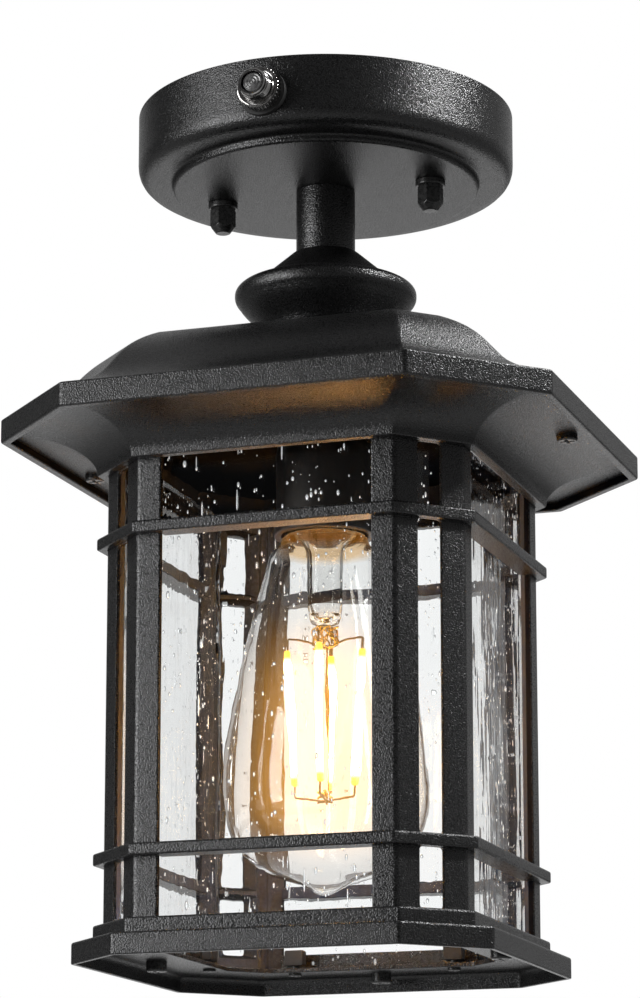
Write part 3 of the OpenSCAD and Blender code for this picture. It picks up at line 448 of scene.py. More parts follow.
outer, inner = ogee(0), ogee(ROOF_SHEET)
inner = inner[inner[:, 0] < FASCIA_IN - 0.6]
fascia = softened([(FASCIA_IN, -110), (FASCIA_IN, EAVES_Z), (FASCIA_A, EAVES_Z), (FASCIA_A, FASCIA_Z),
                   (FASCIA_A - 1.2, FASCIA_Z + 0.3)], [0.1, 0.5, 0.9, 1.0, 0.1], 5, False)
roof_path = np.vstack([[(BORE_R, ROOF_Z - ROOF_SHEET)], inner, [(FASCIA_IN, inner[-1, 1] - 0.3)], fascia,
                       outer[::-1][1:], [(TOP_A - 3, ROOF_Z), (BORE_R, ROOF_Z)]])
roof_b = np.interp(roof_path[:, 0], [0, TOP_A, FASCIA_A], [0, TOP_B, FASCIA_B])
roof_rows = np.column_stack([roof_path[:, 0], roof_b, roof_path[:, 1]])
roof = piece("roof_pressed", octagonal(roof_rows, 1.0), powder_coat)
# The roof's underside gets the painted shade lining.
line_inside(roof, EAVES_Z + 1, ROOF_Z - 2, FASCIA_IN + 0.3, painted_shade_lining)
fasten(roof, "coat", "roof")

# ---------------- soffit
# A cast cove under the roof, eight-sided like it: a quarter of an ellipse from the foot round the
# posts out to the fascia. Two black screws hold it up in the roof's bosses.
SOFFIT_TOP, SOFFIT_A, SOFFIT_B = -110.0, 86.0, 53.07
FOOT_Z, FOOT_A, COVE_H = -124.3, 61.4, 12.3
CLEAR_A, CLEAR_B = 58.1, 41.34
SCREW_X, SEAT_Z = 79.5, -112.3


def cove(rise, count=30):
    """The cove as (a, z): a = FOOT_A + (SOFFIT_A - FOOT_A)(1 - cos w), z = FOOT_Z + COVE_H sin w
    + rise, with w over a quarter of a turn."""
    w = np.linspace(0, np.pi / 2, count)
    a = FOOT_A + (SOFFIT_A - FOOT_A) * (1 - np.cos(w))
    return np.stack([a, FOOT_Z + COVE_H * np.sin(w) + rise], -1)


def pan_screw(r, h, thin, long, crest=0.35):
    """A pan head that hangs under z = 0, on its shank. A crossed recess is pressed into the head:
    its face sinks by crest along both arms of the cross."""
    side = softened([(r * 0.45, -h), (r, -h), (r, 0)], [0.1, h * 0.75, 0.1], 6, False)
    face = [(r * s, -h) for s in (0, 0.05, 0.12, 0.2, 0.3, 0.38)]
    points, faces = lathed(np.vstack([face, side, [(0, 0)]]), 64)
    x, y = abs(points[:-1, :2].T)
    near, reach = np.minimum(x, y) / (0.11 * r), np.maximum(x, y) / (0.55 * r)
    points[:-1, 2] += crest * h * np.clip(1.5 - near, 0, 1) * np.clip(3 - 3 * reach, 0, 1)
    return joined((points, faces), lathed([(0, -0.05), (thin, -0.05), (thin, long), (0, long)], 32))


cove_out, cove_in = cove(0), cove(2)
cove_in = cove_in[cove_in[:, 0] > FOOT_A + 0.6]
soffit_foot = softened([(CLEAR_A, -118), (CLEAR_A, FOOT_Z), (FOOT_A, FOOT_Z), tuple(cove_out[3])],
                       [0.1, 0.3, 0.5, 0.1], 4, False)
soffit_path = np.vstack([soffit_foot, cove_out[4:], [(SOFFIT_A, SOFFIT_TOP)], cove_in[::-1][1:],
                         [(60, cove_in[0, 1] - 0.5), (60, SOFFIT_TOP), (CLEAR_A, SOFFIT_TOP)]])
soffit_b = np.interp(soffit_path[:, 0], [CLEAR_A, 60, FOOT_A, SOFFIT_A], [CLEAR_B, 42.0, 41.98, SOFFIT_B])
soffit_rows = np.column_stack([soffit_path[:, 0], soffit_b, soffit_path[:, 1]])
soffit = piece("soffit_cast", octagonal(soffit_rows, 0.7), powder_coat)
# The soffit's inner faces get the painted shade lining.
line_inside(soffit, FOOT_Z + 1, SOFFIT_TOP + 1, 60.5, painted_shade_lining)
fasten(soffit, "coat", "soffit")

screws = piece("soffit_screws_pan", pair(pan_screw(3.3, 2.1, 1.5, 6.3), SCREW_X, SEAT_Z), black_steel, 28)
fasten(screws, "black_fasteners", "soffit_screws")

# ---------------- corner posts
# Four bent posts, each with a leg on two wide sides and a corner face that is cut out for three
# narrow windows. They thin towards the legs' ends and the windows, and stand on the base.
POST_TOP, POST_FOOT = -118.3, -270.7
LEG_IN, POST_B, POST_A, INNER_A, BEND_IN = 33.7, 41.3, 58.0, 54.0, 39.643
THIN, THIN_LONG = 2.0, 2.6
WINDOWS = [(-265.6, -247.2), (-243.4, -148.1), (-144.3, -124.3)]
BREAKS = [POST_FOOT, -245.3, -146.2, POST_TOP]
BEND_CUT, WINDOW_R, WINDOW_HALF, RIM, FLARE = 1.1, 1.4, 4.0, 1.2, (3.2, 1.25)

# Painted light: a lighter, cool-toned finish on inner faces that look at the axis, standing in for light
# falling on them.
painted_light_lining = speckled("painted_light_lining", 900, 0.00008,
                      (0.032, 0.042, 0.070), (0.016, 0.021, 0.037), 0.8, 0.6, Specular_IOR_Level=0.1)


def window_rings(low, high, panel_half, block_low, block_high):
    """A window's softened outline as (u, z), and for each of its points the one on the rectangle
    round the window that it is joined to."""
    sharp = [(WINDOW_HALF, low), (WINDOW_HALF, high), (-WINDOW_HALF, high), (-WINDOW_HALF, low)]
    line = softened(sharp, WINDOW_R, 4)
    target = line.reshape(4, 5, 2).copy()
    side = np.array([panel_half, panel_half, -panel_half, -panel_half])
    level = np.array([block_low, block_high, block_high, block_low])
    target[[0, 2], :2, 1] = level[[0, 2], None]
    target[[0, 2], 3:, 0] = side[[0, 2], None]
    target[[1, 3], :2, 0] = side[[1, 3], None]
    target[[1, 3], 3:, 1] = level[[1, 3], None]
    target[:, 2] = np.stack([side, level], -1)
    return line, target.reshape(-1, 2)


def grown(line, by):
    """A window's outline with each point moved out from the outline's middle by a length, or by
    one across and one up."""
    middle = (line.max(0) + line.min(0)) / 2
    return line + np.sign(line - middle) * by


def post_shape():
    """The post at the right of the front. Its section's corners are softened and drawn straight up,
    and the corner face's flats are rings from each window's outline to the flat's own edge."""
    thin_from = LEG_IN + THIN_LONG
    section = [(LEG_IN, -POST_A), (POST_B, -POST_A), (POST_A, -POST_B), (POST_A, -LEG_IN),
               (INNER_A + THIN, -LEG_IN), (INNER_A, -thin_from), (INNER_A, -BEND_IN),
               (BEND_IN, -INNER_A), (thin_from, -INNER_A), (LEG_IN, -INNER_A - THIN)]
    loop = softened(section, [0.5, BEND_CUT, BEND_CUT, 0.5, 0.3, 0.3, 0.6, 0.6, 0.3, 0.3], 4)
    out_edge, in_edge = (9, 10), (34, 35)
    out_half, in_half = (np.linalg.norm(loop[i] - loop[j]) / 2 for i, j in (out_edge, in_edge))
    out_far, in_far = (POST_A + POST_B) / math.sqrt(2), (INNER_A + BEND_IN) / math.sqrt(2)
    along, outward = np.array([1, 1]) / math.sqrt(2), np.array([1, -1]) / math.sqrt(2)
    levels, shapes = set(BREAKS), []
    for (low, high), below, above in zip(WINDOWS, BREAKS[:-1], BREAKS[1:]):
        line, out_target = window_rings(low, high, out_half, below, above)
        _, in_target = window_rings(low, high, in_half, below, above)
        levels |= {round(z, 9) for z in out_target[:, 1]}
        rings = [(out_target, out_far), (grown(line, 0.35), out_far), (grown(line, 0.1), out_far - 0.12),
                 (line, out_far - 0.4), (line, out_far - RIM), (grown(line, FLARE), in_far),
                 (in_target, in_far)]
        points = [np.column_stack([ring[:, :1] * along + far * outward, ring[:, 1]]) for ring, far in rings]
        shapes.append((np.vstack(points), [quads(len(rings), len(line), False)]))
    z = np.array(sorted(levels))
    around = len(loop)
    points = np.concatenate([np.repeat(loop[None], len(z), 0), np.repeat(z[:, None, None], around, 1)], -1)
    sides, *ends = tube(len(z), around)
    open_flat = np.isin(sides[:, 0] % around, [out_edge[0], in_edge[0]])
    return joined((points.reshape(-1, 3), [sides[~open_flat]] + ends), *shapes)


front_right = post_shape()
for name, x, y in (("front_right", 1, 1), ("front_left", -1, 1),
                   ("back_right", 1, -1), ("back_left", -1, -1)):
    post = piece("post_bent_" + name, (front_right[0] * [x, y, 1], front_right[1]), powder_coat)
    # Inner faces get the painted shade lining, and those that look at the axis the painted light one.
    line_inside(post, POST_FOOT, POST_TOP, 57.6, painted_shade_lining, painted_light_lining)
    fasten(post, "coat", "post_" + name)

# ---------------- bands and sill
# Cast rings round the posts, each with a bar across every wide window. The two bands divide the
# windows and the sill ring closes them above the base.
BAND_H, BAND_OUT, BAND_CUTS = 3.8, (61.4, 41.6), [0.2, 0.7, 0.9, 0.2]
SILL_Z, SILL_OUT, SILL_CUTS = -265.6, (60.6, 42.9), [0.2, 0.4, 1.0, 0.2]
BAR_HALF, BAR_FRONT = 33.6, -58.3


def along_x(lines, x):
    """A solid through closed lines of (y, z), each of them at its own x."""
    lines = np.asarray(lines)
    x = np.repeat(np.asarray(x, float)[:, None, None], lines.shape[1], 1)
    return np.concatenate([x, lines], -1).reshape(-1, 3), tube(*lines.shape[:2])


def bar(half, y_front, y_back, low, high, cut=0.35):
    """A bar along X at the front: its (y, z) outline, softened, between x = -half and half."""
    line = softened([(y_front, high), (y_front, low), (y_back, low), (y_back, high)], cut, 3)
    return along_x([line, line], [-half, half])


def quarter(shape, times):
    """A shape turned about Z by a number of right angles."""
    c, s = [(1, 0), (0, 1), (-1, 0), (0, -1)][times]
    x, y, z = shape[0].T
    return np.stack([c * x - s * y, s * x + c * y, z], -1), shape[1]


def on_each_side(shape):
    """A shape of the front, repeated on the four wide sides."""
    return joined(*[quarter(shape, i) for i in range(4)])


def cage_ring(high, low, out, cuts):
    """A ring from just outside the posts to the corners out, with its four bars."""
    rows = [(CLEAR_A, CLEAR_B, low), (*out, low), (*out, high), (CLEAR_A, CLEAR_B, high)]
    bars = on_each_side(bar(BAR_HALF, BAR_FRONT, -INNER_A, low, high))
    return joined(octagonal(softened(rows, cuts, 4), 0.5), bars)


for name, high in (("upper_band", -144.3), ("lower_band", -243.4)):
    band = piece(name + "_cast", cage_ring(high, high - BAND_H, BAND_OUT, BAND_CUTS), powder_coat)
    # Inner faces get the painted shade lining, and those that look at the axis the painted light one.
    line_inside(band, high - 4, high + 1, INNER_A + 0.6, painted_shade_lining, painted_light_lining)
    fasten(band, "coat", name)
sill = piece("sill_ring_cast", cage_ring(SILL_Z, POST_FOOT, SILL_OUT, SILL_CUTS), powder_coat)
fasten(sill, "coat", "sill_ring")

# ---------------- base
# The base ring is a shallow cast tray with its mouth open, for changing the bulb. Four black
# screws hold it up in the sill ring's bars.
BASE_OUT, SKIRT_IN, MOUTH, BASE_LOW, TRAY_Z = (66.9, 44.8), (65.4, 44.18), (45.5, 34.5), -277.5, -272.2
BASE_SCREW_Y = -56.4

base_rows = [(*BASE_OUT, BASE_LOW), (*BASE_OUT, POST_FOOT), (*MOUTH, POST_FOOT), (*MOUTH, TRAY_Z),
             (*SKIRT_IN, TRAY_Z), (*SKIRT_IN, BASE_LOW)]
base_rows = softened(base_rows, [0.5, 1.0, 0.4, 0.4, 2.2, 0.4], 6)
fasten(piece("base_ring_cast", octagonal(base_rows, 0.8), powder_coat), "coat", "base_ring")

screws = on_each_side(moved(pan_screw(3.3, 3.4, 1.2, 4.6, 0.25), 0, BASE_SCREW_Y, TRAY_Z))
fasten(piece("base_screws_pan", screws, black_steel, 28), "black_fasteners", "base_screws")

# ---------------- seeded glass
# Panes of 3 mm seeded glass stand behind the windows: clear, slightly wavy, and full of small air
# bubbles, a few of them drawn out. Their edges are ground.
PANE_LOW, PANE_HIGH, PANE_T, PANE_GRID = -270.45, -119.3, 3.0, 2.2
PANE_W, PANE_Y, CORNER_W, CORNER_Y = 75.4, -53.75, 15.0, -65.97
DIAGONAL = math.sqrt(0.5)
BALL_V = np.radians(np.linspace(-90, 90, 6))
chance = np.random.default_rng(41)


def mix_in(made, share, other):
    """Puts another shader in the place of a material's own one by a share."""
    tree = made.node_tree
    mixed = node(tree, "MixShader", share, tree.nodes["Principled BSDF"].outputs[0], other.outputs[0])
    tree.links.new(mixed.outputs[0], tree.nodes["Material Output"].inputs["Surface"])


def clear(name, colour, ior, swell, streak=None, **sockets):
    """Clear glass: a transmitting shader whose normal has a slow swell and, with streak, upright
    waves, each given as its scale and depth in metres. Lamps reach through it, so that what it
    encloses is lit."""
    made = finish(name, Roughness=0.0, IOR=ior, Transmission_Weight=1.0, Base_Color=(*colour, 1), **sockets)
    tree = made.node_tree
    place = node(tree, "TexCoord").outputs["Object"]
    normal = None
    if streak:
        upright = node(tree, "VectorMath", place, (1.0, 1.0, 0.1), operation="MULTIPLY").outputs[0]
        wave = noise(tree, upright, streak[0], Detail=1.0)
        normal = node(tree, "Bump", Strength=1.0, Distance=streak[1], Height=wave).outputs[0]
    wave = noise(tree, place, swell[0], Detail=2.0)
    normal = node(tree, "Bump", Strength=1.0, Distance=swell[1], Height=wave, Normal=normal).outputs[0]
    tint = ramp(tree, noise(tree, place, 30.0), (0.3, tuple(0.985 * c for c in colour)), (0.7, colour))
    drive(made, Base_Color=tint, Normal=normal)
    through = node(tree, "BsdfTransparent", Color=(*colour, 1))
    mix_in(made, node(tree, "LightPath").outputs["Is Shadow Ray"], through)
    return made


def bubbles(places, radii, tall):
    """Air bubbles as ellipsoids turned inside out: (r cos v cos w, r cos v sin w, r tall sin v)
    about each place."""
    unit, faces = lathed(np.column_stack([np.cos(BALL_V), np.sin(BALL_V)]), 8)
    size = np.stack([radii, radii, radii * tall], -1)
    points = places[:, None, :] + unit[None] * size[:, None, :]
    shift = np.arange(len(places))[:, None, None] * len(unit)
    return points.reshape(-1, 3), [(f[None, :, ::-1] + shift).reshape(-1, f.shape[1]) for f in faces]


def pane_shape(width, near, seeds, streaks):
    """A pane across the front, from y = near back by its thickness. Both faces swell by a few
    hundredths: the sum of six sine waves with their own directions and phases."""
    columns, rows = int(width / PANE_GRID), 64
    x, z = np.meshgrid(np.linspace(-width / 2, width / 2, columns), np.linspace(PANE_LOW, PANE_HIGH, rows))
    sheets = []
    for side in (0, 1):
        waves = chance.uniform([-0.45, -0.16, 0], [0.45, 0.16, 2 * np.pi], (6, 3))
        swell = sum(np.sin(kx * x + kz * z + phase) for kx, kz, phase in waves) * 0.012
        sheets.append(np.stack([x, near + side * PANE_T + swell, z], -1).reshape(-1, 3))
    i, j = np.meshgrid(np.arange(rows - 1), np.arange(columns - 1), indexing="ij")
    a = (i * columns + j).ravel()
    front = np.stack([a, a + 1, a + columns + 1, a + columns], -1)
    count = rows * columns
    c, r = np.arange(columns), np.arange(rows) * columns
    edge = np.concatenate([c, r[1:] + columns - 1, count - 2 - c[:-1], r[1:-1][::-1]])
    rim = np.stack([edge, edge + count, np.roll(edge, -1) + count, np.roll(edge, -1)], -1)
    glass = (np.vstack(sheets), [front, front[:, ::-1] + count, rim])
    total = seeds + streaks
    places = chance.uniform([-width / 2 + 1, near + 0.8, PANE_LOW + 1],
                            [width / 2 - 1, near + PANE_T - 0.8, PANE_HIGH - 1], (total, 3))
    radii = np.clip(chance.lognormal(-1.45, 0.42, total), 0.12, 0.6)
    tall = np.minimum(chance.uniform(1.0, 2.6, total), 2.2 / radii)
    radii[:streaks] = chance.uniform(0.14, 0.34, streaks)
    tall[:streaks] = chance.uniform(5, 13, streaks)
    return joined(glass, bubbles(places, radii, tall))


def glaze(name, shape, turn):
    """Makes a pane, turned to its side, and gives the bubbles, whose faces are the smallest, a faint
    white glow that is painted glints."""
    pane = piece(name, quarter(shape, turn), seeded, 60, hollow=True)
    add_finish(pane, seed_painted_glint, of_faces(pane, "area", 1)[:, 0] < 1.5e-6)
    return pane


seeded = clear("seeded_glass", (0.985, 0.995, 0.995), 1.34, (90, 0.00008), (320, 0.00006))
# Painted glints: the bubbles' skin gives off a faint white light.
seed_painted_glint = clear("seed_painted_glint", (0.97, 0.975, 0.975), 1.5, (90, 0.00002),
                  Emission_Color=(0.95, 0.98, 1.0, 1), Emission_Strength=0.22)

for turn, name in enumerate(("front", "right", "back", "left")):
    pane = glaze("pane_seeded_" + name, pane_shape(PANE_W, PANE_Y, 520, 34), turn)
    fasten(pane, "seeded_glass", "pane_" + name)

for turn, name in enumerate(("front_right", "back_right", "back_left", "front_left")):
    points, faces = pane_shape(CORNER_W, CORNER_Y, 85, 5)
    x, y, z = points.T
    points = np.stack([DIAGONAL * (x - y), DIAGONAL * (x + y), z], -1)
    pane = glaze("corner_pane_seeded_" + name, (points, faces), turn)
    fasten(pane, "seeded_glass", "corner_pane_" + name)

# ---------------- glass clips
# Blocks of bent black steel behind the foot of each wide pane, screwed up through the base. They
# keep the pane in its place.
CLIP_X, CLIP_HALF, CLIP_SCREW_Y = 27, 3.25, -48.7

clip_steel = speckled("clip_steel", 800, 0.00003, 0.012, 0.006, 0.5, 0.34)


def block(half, y_low, y_high, low, high, cut):
    """A small block, symmetrical in X, with softened edges along X."""
    line = softened([(y_low, high), (y_low, low), (y_high, low), (y_high, high)], cut, 3)
    middle, shrink = line.mean(0), 1 - 2 * cut / np.array([y_high - y_low, high - low])
    inset = (line - middle) * shrink + middle
    return along_x([inset, line, line, inset], [-half, -half + cut, half - cut, half])


clips = on_each_side(pair(block(CLIP_HALF, -50.5, -46.9, -269.7, -264.7, 0.4), CLIP_X))
fasten(piece("glass_clips_bent", clips, clip_steel, 28), "clip_steel", "glass_clips")

screws = on_each_side(pair(moved(pan_screw(2.1, 0.9, 1.2, 5.4), 0, CLIP_SCREW_Y, TRAY_Z), CLIP_X))
fasten(piece("clip_screws_pan", screws, black_steel, 28), "black_fasteners", "clip_screws")

# ---------------- lamp holder
# A phenolic lamp holder screwed on the pipe, with a thick lip round its mouth. Inside it are the
# threaded brass shell, a fibre washer and the sprung centre contact.
HOLDER_Z, CEILING_Z, HOLDER_BORE, HOLDER_LIP, HOLDER_R = -139.3, -110.3, 13.9, 16.5, 15.6
PIPE_R, WIRE_R, NECK_TOP = 5.05, 3.3, 10
SHELL_LOW, SHELL_HIGH, SHELL_R, SHELL_T, SHELL_PITCH = -136.3, -111.8, 13.66, 0.1, 3.63

phenolic = speckled("holder_black", 700, 0.00002,
                    (0.0090, 0.0062, 0.0048), (0.0050, 0.0036, 0.0030), 0.42, 0.32)
brass = speckled("brass", 400, 0.00001, (0.86, 0.60, 0.24), (0.62, 0.40, 0.15), 0.34, 0.2, Metallic=1.0)
fibre = speckled("fibre", 900, 0.00004, (0.42, 0.33, 0.22), (0.30, 0.22, 0.14), 0.8, 0.6)

holder_path = [(HOLDER_BORE, HOLDER_Z), (HOLDER_LIP, HOLDER_Z), (HOLDER_LIP, HOLDER_Z + 4),
               (HOLDER_R, HOLDER_Z + 4.9), (HOLDER_R, CEILING_Z), (8, CEILING_Z + NECK_TOP),
               (PIPE_R, CEILING_Z + NECK_TOP), (PIPE_R, CEILING_Z + 2.2), (WIRE_R, CEILING_Z + 2),
               (WIRE_R, CEILING_Z), (HOLDER_BORE, CEILING_Z)]
holder_cuts = [0.6, 0.7, 0.7, 0.4, 2.0, 0.8, 0.3, 0.3, 0.2, 0.2, 0.3]
holder = piece("lamp_holder_moulded", lathed(softened(holder_path, holder_cuts, 5), 144), phenolic)
fasten(holder, "holder_black", "lamp_holder")

shell_z = np.linspace(SHELL_LOW, SHELL_HIGH, 90)
shell_wave = 0.12 * np.sin(2 * np.pi * (shell_z - SHELL_LOW) / SHELL_PITCH)
shell_wave[[0, -1]] = 0
shell_path = np.vstack([np.stack([SHELL_R + shell_wave, shell_z], -1),
                        np.stack([SHELL_R - SHELL_T + shell_wave, shell_z], -1)[::-1]])
fasten(piece("holder_shell_threaded", lathed(shell_path, 120), brass), "brass", "holder_shell")
keep("holder_insulator", fibre)
keep("holder_contact", brass)

# ---------------- bulb
# A filament bulb with a pear-shaped envelope of 0.8 mm glass, drawn in to its neck and sealed in a
# small tip at the bottom. Round the filaments its glass has a painted amber glow and cream tint, and
# at the top of the neck a painted amber tint and faint glow. Its screw cap is zinc-plated.
BULB_R, TIP_Z, NUB_R, NUB_H, FULL, GLASS_T = 32.3, -253.8, 5.2, 3.3, 2.3, 0.8
BELLY_H, NECK_R, NECK_IN = 31.008, 14.05, 12.15
BELLY_Z = TIP_Z + NUB_H + BELLY_H
SHOULDER = np.array([17.765, -147.1])
BLOWN, BLOWN_GLOW_TINT, BLOWN_NECK_GLOW = (0.985, 0.985, 0.98), (1.0, 0.965, 0.91), (0.80, 0.60, 0.38)


def combined(tree, way, first, *others):
    """Values brought together one after the other by a Math node's operation."""
    for other in others:
        first = node(tree, "Math", first, other, operation=way).outputs[0]
    return first


def bulb_outline(inset):
    """The envelope as (r, z) from the tip up to the cap, moved in by inset. The bottom's rise is
    h (1 - (1 - s^n)^(1/n)) at the share s of the radius, less a bell round the tip, and two Bezier
    curves follow."""
    w = np.radians(90 * np.linspace(0, 1, 60) ** 0.8)
    s = np.sin(w)
    rise = BELLY_H * (1 - (1 - np.clip(s, 0, 1) ** FULL) ** (1 / FULL))
    flat = (BELLY_H - inset) / BELLY_H * rise - NUB_H * np.exp(-((BULB_R * s / NUB_R) ** 2))
    bottom = np.stack([(BULB_R - inset) * s, BELLY_Z - BELLY_H + inset + flat], -1)
    widest, shoulder, neck_r = BULB_R - inset, SHOULDER - [inset, 0], NECK_R - inset
    side = bezier((widest, BELLY_Z), (widest, BELLY_Z + 13), shoulder + [7.7, -25.7], shoulder, 40)
    neck = bezier(shoulder, shoulder + [-1.1, 3.8], (neck_r, HOLDER_Z - 4.2), (neck_r, HOLDER_Z - 1.2), 16)
    end = [(NECK_IN - inset, HOLDER_Z - 0.2), (NECK_IN - inset, HOLDER_Z + 4)]
    return np.vstack([bottom, side[1:], neck[1:], end])


# Painted glow: the envelope gives off amber light at the filaments' heights, most where it faces the view,
# and is tinted cream there; at the top of the neck it is tinted amber and glows faintly.
blown_glass = clear("blown_glass", BLOWN, 1.45, (60, 0.000008), Emission_Color=(1.0, 0.45, 0.045, 1))
tree = blown_glass.node_tree
height = node(tree, "SeparateXYZ", node(tree, "TexCoord").outputs["Object"]).outputs["Z"]
beside = ramp(tree, spread(tree, height, -0.26, -0.16),
              (0.0, 0.0), (0.16, 0.35), (0.32, 1.0), (0.72, 1.0), (0.98, 0.0))
middle = ramp(tree, node(tree, "LayerWeight", Blend=0.5).outputs["Facing"],
              (0.0, 1.0), (0.06, 0.80), (0.15, 0.42), (0.30, 0.15), (0.5, 0.0))
painted_glow_share = combined(tree, "MULTIPLY", beside, middle)
neck = spread(tree, height, -0.1449, -0.1427)
colour = node(tree, "MixRGB", painted_glow_share, (*BLOWN, 1), (*BLOWN_GLOW_TINT, 1)).outputs[0]
colour = node(tree, "MixRGB", neck, colour, (*BLOWN_NECK_GLOW, 1)).outputs[0]
painted_glow_strength = combined(tree, "ADD", combined(tree, "MULTIPLY", painted_glow_share, 0.20), combined(tree, "MULTIPLY", neck, 0.035))
drive(blown_glass, Base_Color=colour, Emission_Strength=painted_glow_strength)

envelope = lathed(np.vstack([bulb_outline(0), bulb_outline(GLASS_T)[::-1]]), 160)
envelope = piece("bulb_envelope", envelope, blown_glass, 60, hollow=True)
fasten(envelope, "bulb_clear", "bulb_glass", body="bulb")

zinc = speckled("zinc_plate", 350, 0.00001,
                (0.62, 0.61, 0.58), (0.42, 0.42, 0.41), 0.42, 0.26, Metallic=1.0)
keep("bulb_cap", zinc)
keep("bulb_contact", zinc)
keep("bulb_insulator", speckled("black_glass", 300, 0.00001, 0.012, 0.006, 0.2, 0.08, Coat_Weight=1.0))

# ---------------- filaments
# Four rods of phosphor on the bulb's glass mount, held by bent wires that meet in a star below.
# They glow warm white, and yellow at their ends.
ROD_TOP, ROD_FOOT, ROD_TURN = np.array([12, -175.5]), np.array([9.4, -219.5]), 9
ROD_YELLOW, ROD_WHITE, ROD_LIGHT = (0.9, 0.42, 0.0), (1.0, 0.80, 0.42), (1.0, 0.40, 0.055)
SEEN_LEVEL, LIGHT_LEVEL = 7.0, 240.0
MOUNT_R, MOUNT_IN, PINCH_Z, PINCH_H, PINCH_TURN = 5.8, 4.9, -175.6, 7.6, math.radians(18)
POST_WIRE_R, WIRE_BENT_R, STAR_R, KNOT_R = 0.36, 0.34, 0.42, 0.26


def rod_stops(end, middle):
    """A ramp's stops along a rod: one value at both ends and another between them."""
    return (0.0, end), (0.05, end), (0.09, middle), (0.91, middle), (0.95, end), (1.0, end)


def drawn(path, r, around=10):
    """A round wire of radius r along a path of points: a circle square to the path's tangent at
    each point, with flat ends."""
    p = np.asarray(path, float)
    tangent = np.gradient(p, axis=0)
    tangent /= np.linalg.norm(tangent, axis=1, keepdims=True)
    side = np.cross(tangent, [0.31, 0.47, 0.83])
    side /= np.linalg.norm(side, axis=1, keepdims=True)
    up = np.cross(side, tangent)
    w = turns(around)[:, None]
    points = p[:, None] + r * (np.cos(w) * side[:, None] + np.sin(w) * up[:, None])
    return points.reshape(-1, 3), tube(len(p), around)


# A look at a rod shows its glow, and what it lights gets much more, as the camera would clip it.
phosphor = finish("phosphor", Base_Color=(1.0, 0.72, 0.25, 1), Roughness=0.5)
tree = phosphor.node_tree
height = node(tree, "SeparateXYZ", node(tree, "TexCoord").outputs["Object"]).outputs["Z"]
along = spread(tree, height, -0.2195, -0.1755)
path = node(tree, "LightPath").outputs
seen = combined(tree, "MAXIMUM", path["Is Camera Ray"], path["Is Transmission Ray"], path["Is Glossy Ray"])
colour = ramp(tree, along, *rod_stops(ROD_YELLOW, ROD_WHITE))
colour = node(tree, "MixRGB", seen, (*ROD_LIGHT, 1), colour).outputs[0]
level = spread(tree, seen, 0.0, 1.0, LIGHT_LEVEL, SEEN_LEVEL)
level = combined(tree, "MULTIPLY", ramp(tree, along, *rod_stops(0.16, 1.0)), level)
drive(phosphor, Emission_Color=colour, Emission_Strength=level)

rod_step = [0, 0.008, 0.02, 0.04, 0.06, 0.94, 0.96, 0.98, 0.992, 1]
rod_s = np.concatenate([rod_step[:3], np.linspace(0.04, 0.96, 12), rod_step[7:]])
rod_r = np.interp(rod_s, rod_step, [0, 0.8, 1.05, 1.05, 1.3, 1.3, 1.05, 1.05, 0.8, 0])
rod, rod_faces = lathed(np.stack([rod_r, rod_s], -1), 24)
rods = []
for i in range(4):
    w = math.radians(ROD_TURN + 90 * i)
    across, z = (ROD_FOOT + (ROD_TOP - ROD_FOOT) * rod[:, 2:]).T
    points = rod[:, :2] + np.outer(across, [math.cos(w), math.sin(w)])
    rods.append((np.column_stack([points, z]), rod_faces))
fasten(piece("filament_rods", joined(*rods), phosphor), "phosphor", "bulb_filaments", body="bulb")

flared = bezier((MOUNT_R, -147), (MOUNT_R, -142.8), (7.6, -140.4), (11.0, -138.4), 10)
mount_out = [(0.0, -168.6), (2.4, -168.4), (4.2, -167.4), (5.4, -165.2), (MOUNT_R, -162.5), (MOUNT_R, -147)]
flared_in = bezier((10.3, -138.2), (6.9, -140.0), (MOUNT_IN, -142.6), (MOUNT_IN, -147), 10)
mount_in = [(MOUNT_IN, -162), (4.2, -164.5), (2.2, -166.0), (0.0, -166.4)]
mount_path = np.vstack([mount_out, flared[1:], flared_in, mount_in])
mount = lathed(softened(mount_path, 0.3, 3, False), 96)
pinch_w = turns(48)
pinch_s = np.linspace(0, 1, 14)[:, None]
wide = np.interp(pinch_s, [0, 0.06, 0.15, 0.8, 1], [0, 3.0, 3.9, 3.7, 2.2])
thick = np.interp(pinch_s, [0, 0.06, 0.15, 0.8, 1], [0, 1.1, 1.5, 1.7, 2.2])
x, y = wide * np.cos(pinch_w), thick * np.sin(pinch_w)
c, s = math.cos(PINCH_TURN), math.sin(PINCH_TURN)
pinch_z = np.repeat(PINCH_Z + PINCH_H * pinch_s, len(pinch_w), 1)
pinch = np.stack([x * c - y * s, x * s + y * c, pinch_z], -1).reshape(-1, 3)
sides, _, top = tube(len(pinch_s), len(pinch_w))
bulb_clear = clear("bulb_clear", BLOWN, 1.45, (60, 0.000008))
mount = piece("glass_mount", joined(mount, (pinch, [sides, top])), bulb_clear, 50)
fasten(mount, "bulb_clear", "bulb_mount", body="bulb")

wire = speckled("wire", 900, 0.00001, (0.22, 0.19, 0.14), (0.12, 0.10, 0.07), 0.5, 0.32, Metallic=1.0)
wires = [drawn([(0.7, 0.5, -175), (0.7, 0.5, -223.2)], POST_WIRE_R)]
for i in range(4):
    w = math.radians(ROD_TURN + 90 * i)
    out, up = np.array([math.cos(w), math.sin(w), 0]), np.array([0, 0, 1])
    top, foot = out * ROD_TOP[0] + up * ROD_TOP[1], out * ROD_FOOT[0] + up * ROD_FOOT[1]
    lead = [out * 2.6 - up * 174.2, out * 7 - up * 172.6, top + up * 3.6, top - up * 0.4]
    tail = [foot + up * 0.4, foot - up * 3.2, out * 4 - up * 223.6, -out * 2.6 - up * 224.6]
    wires += [drawn(softened(bent, 0.8, 3, False), WIRE_BENT_R) for bent in (lead, tail)]
fasten(piece("wires_bent", joined(*wires), wire, 50), "wire", "filament_wires", body="bulb")

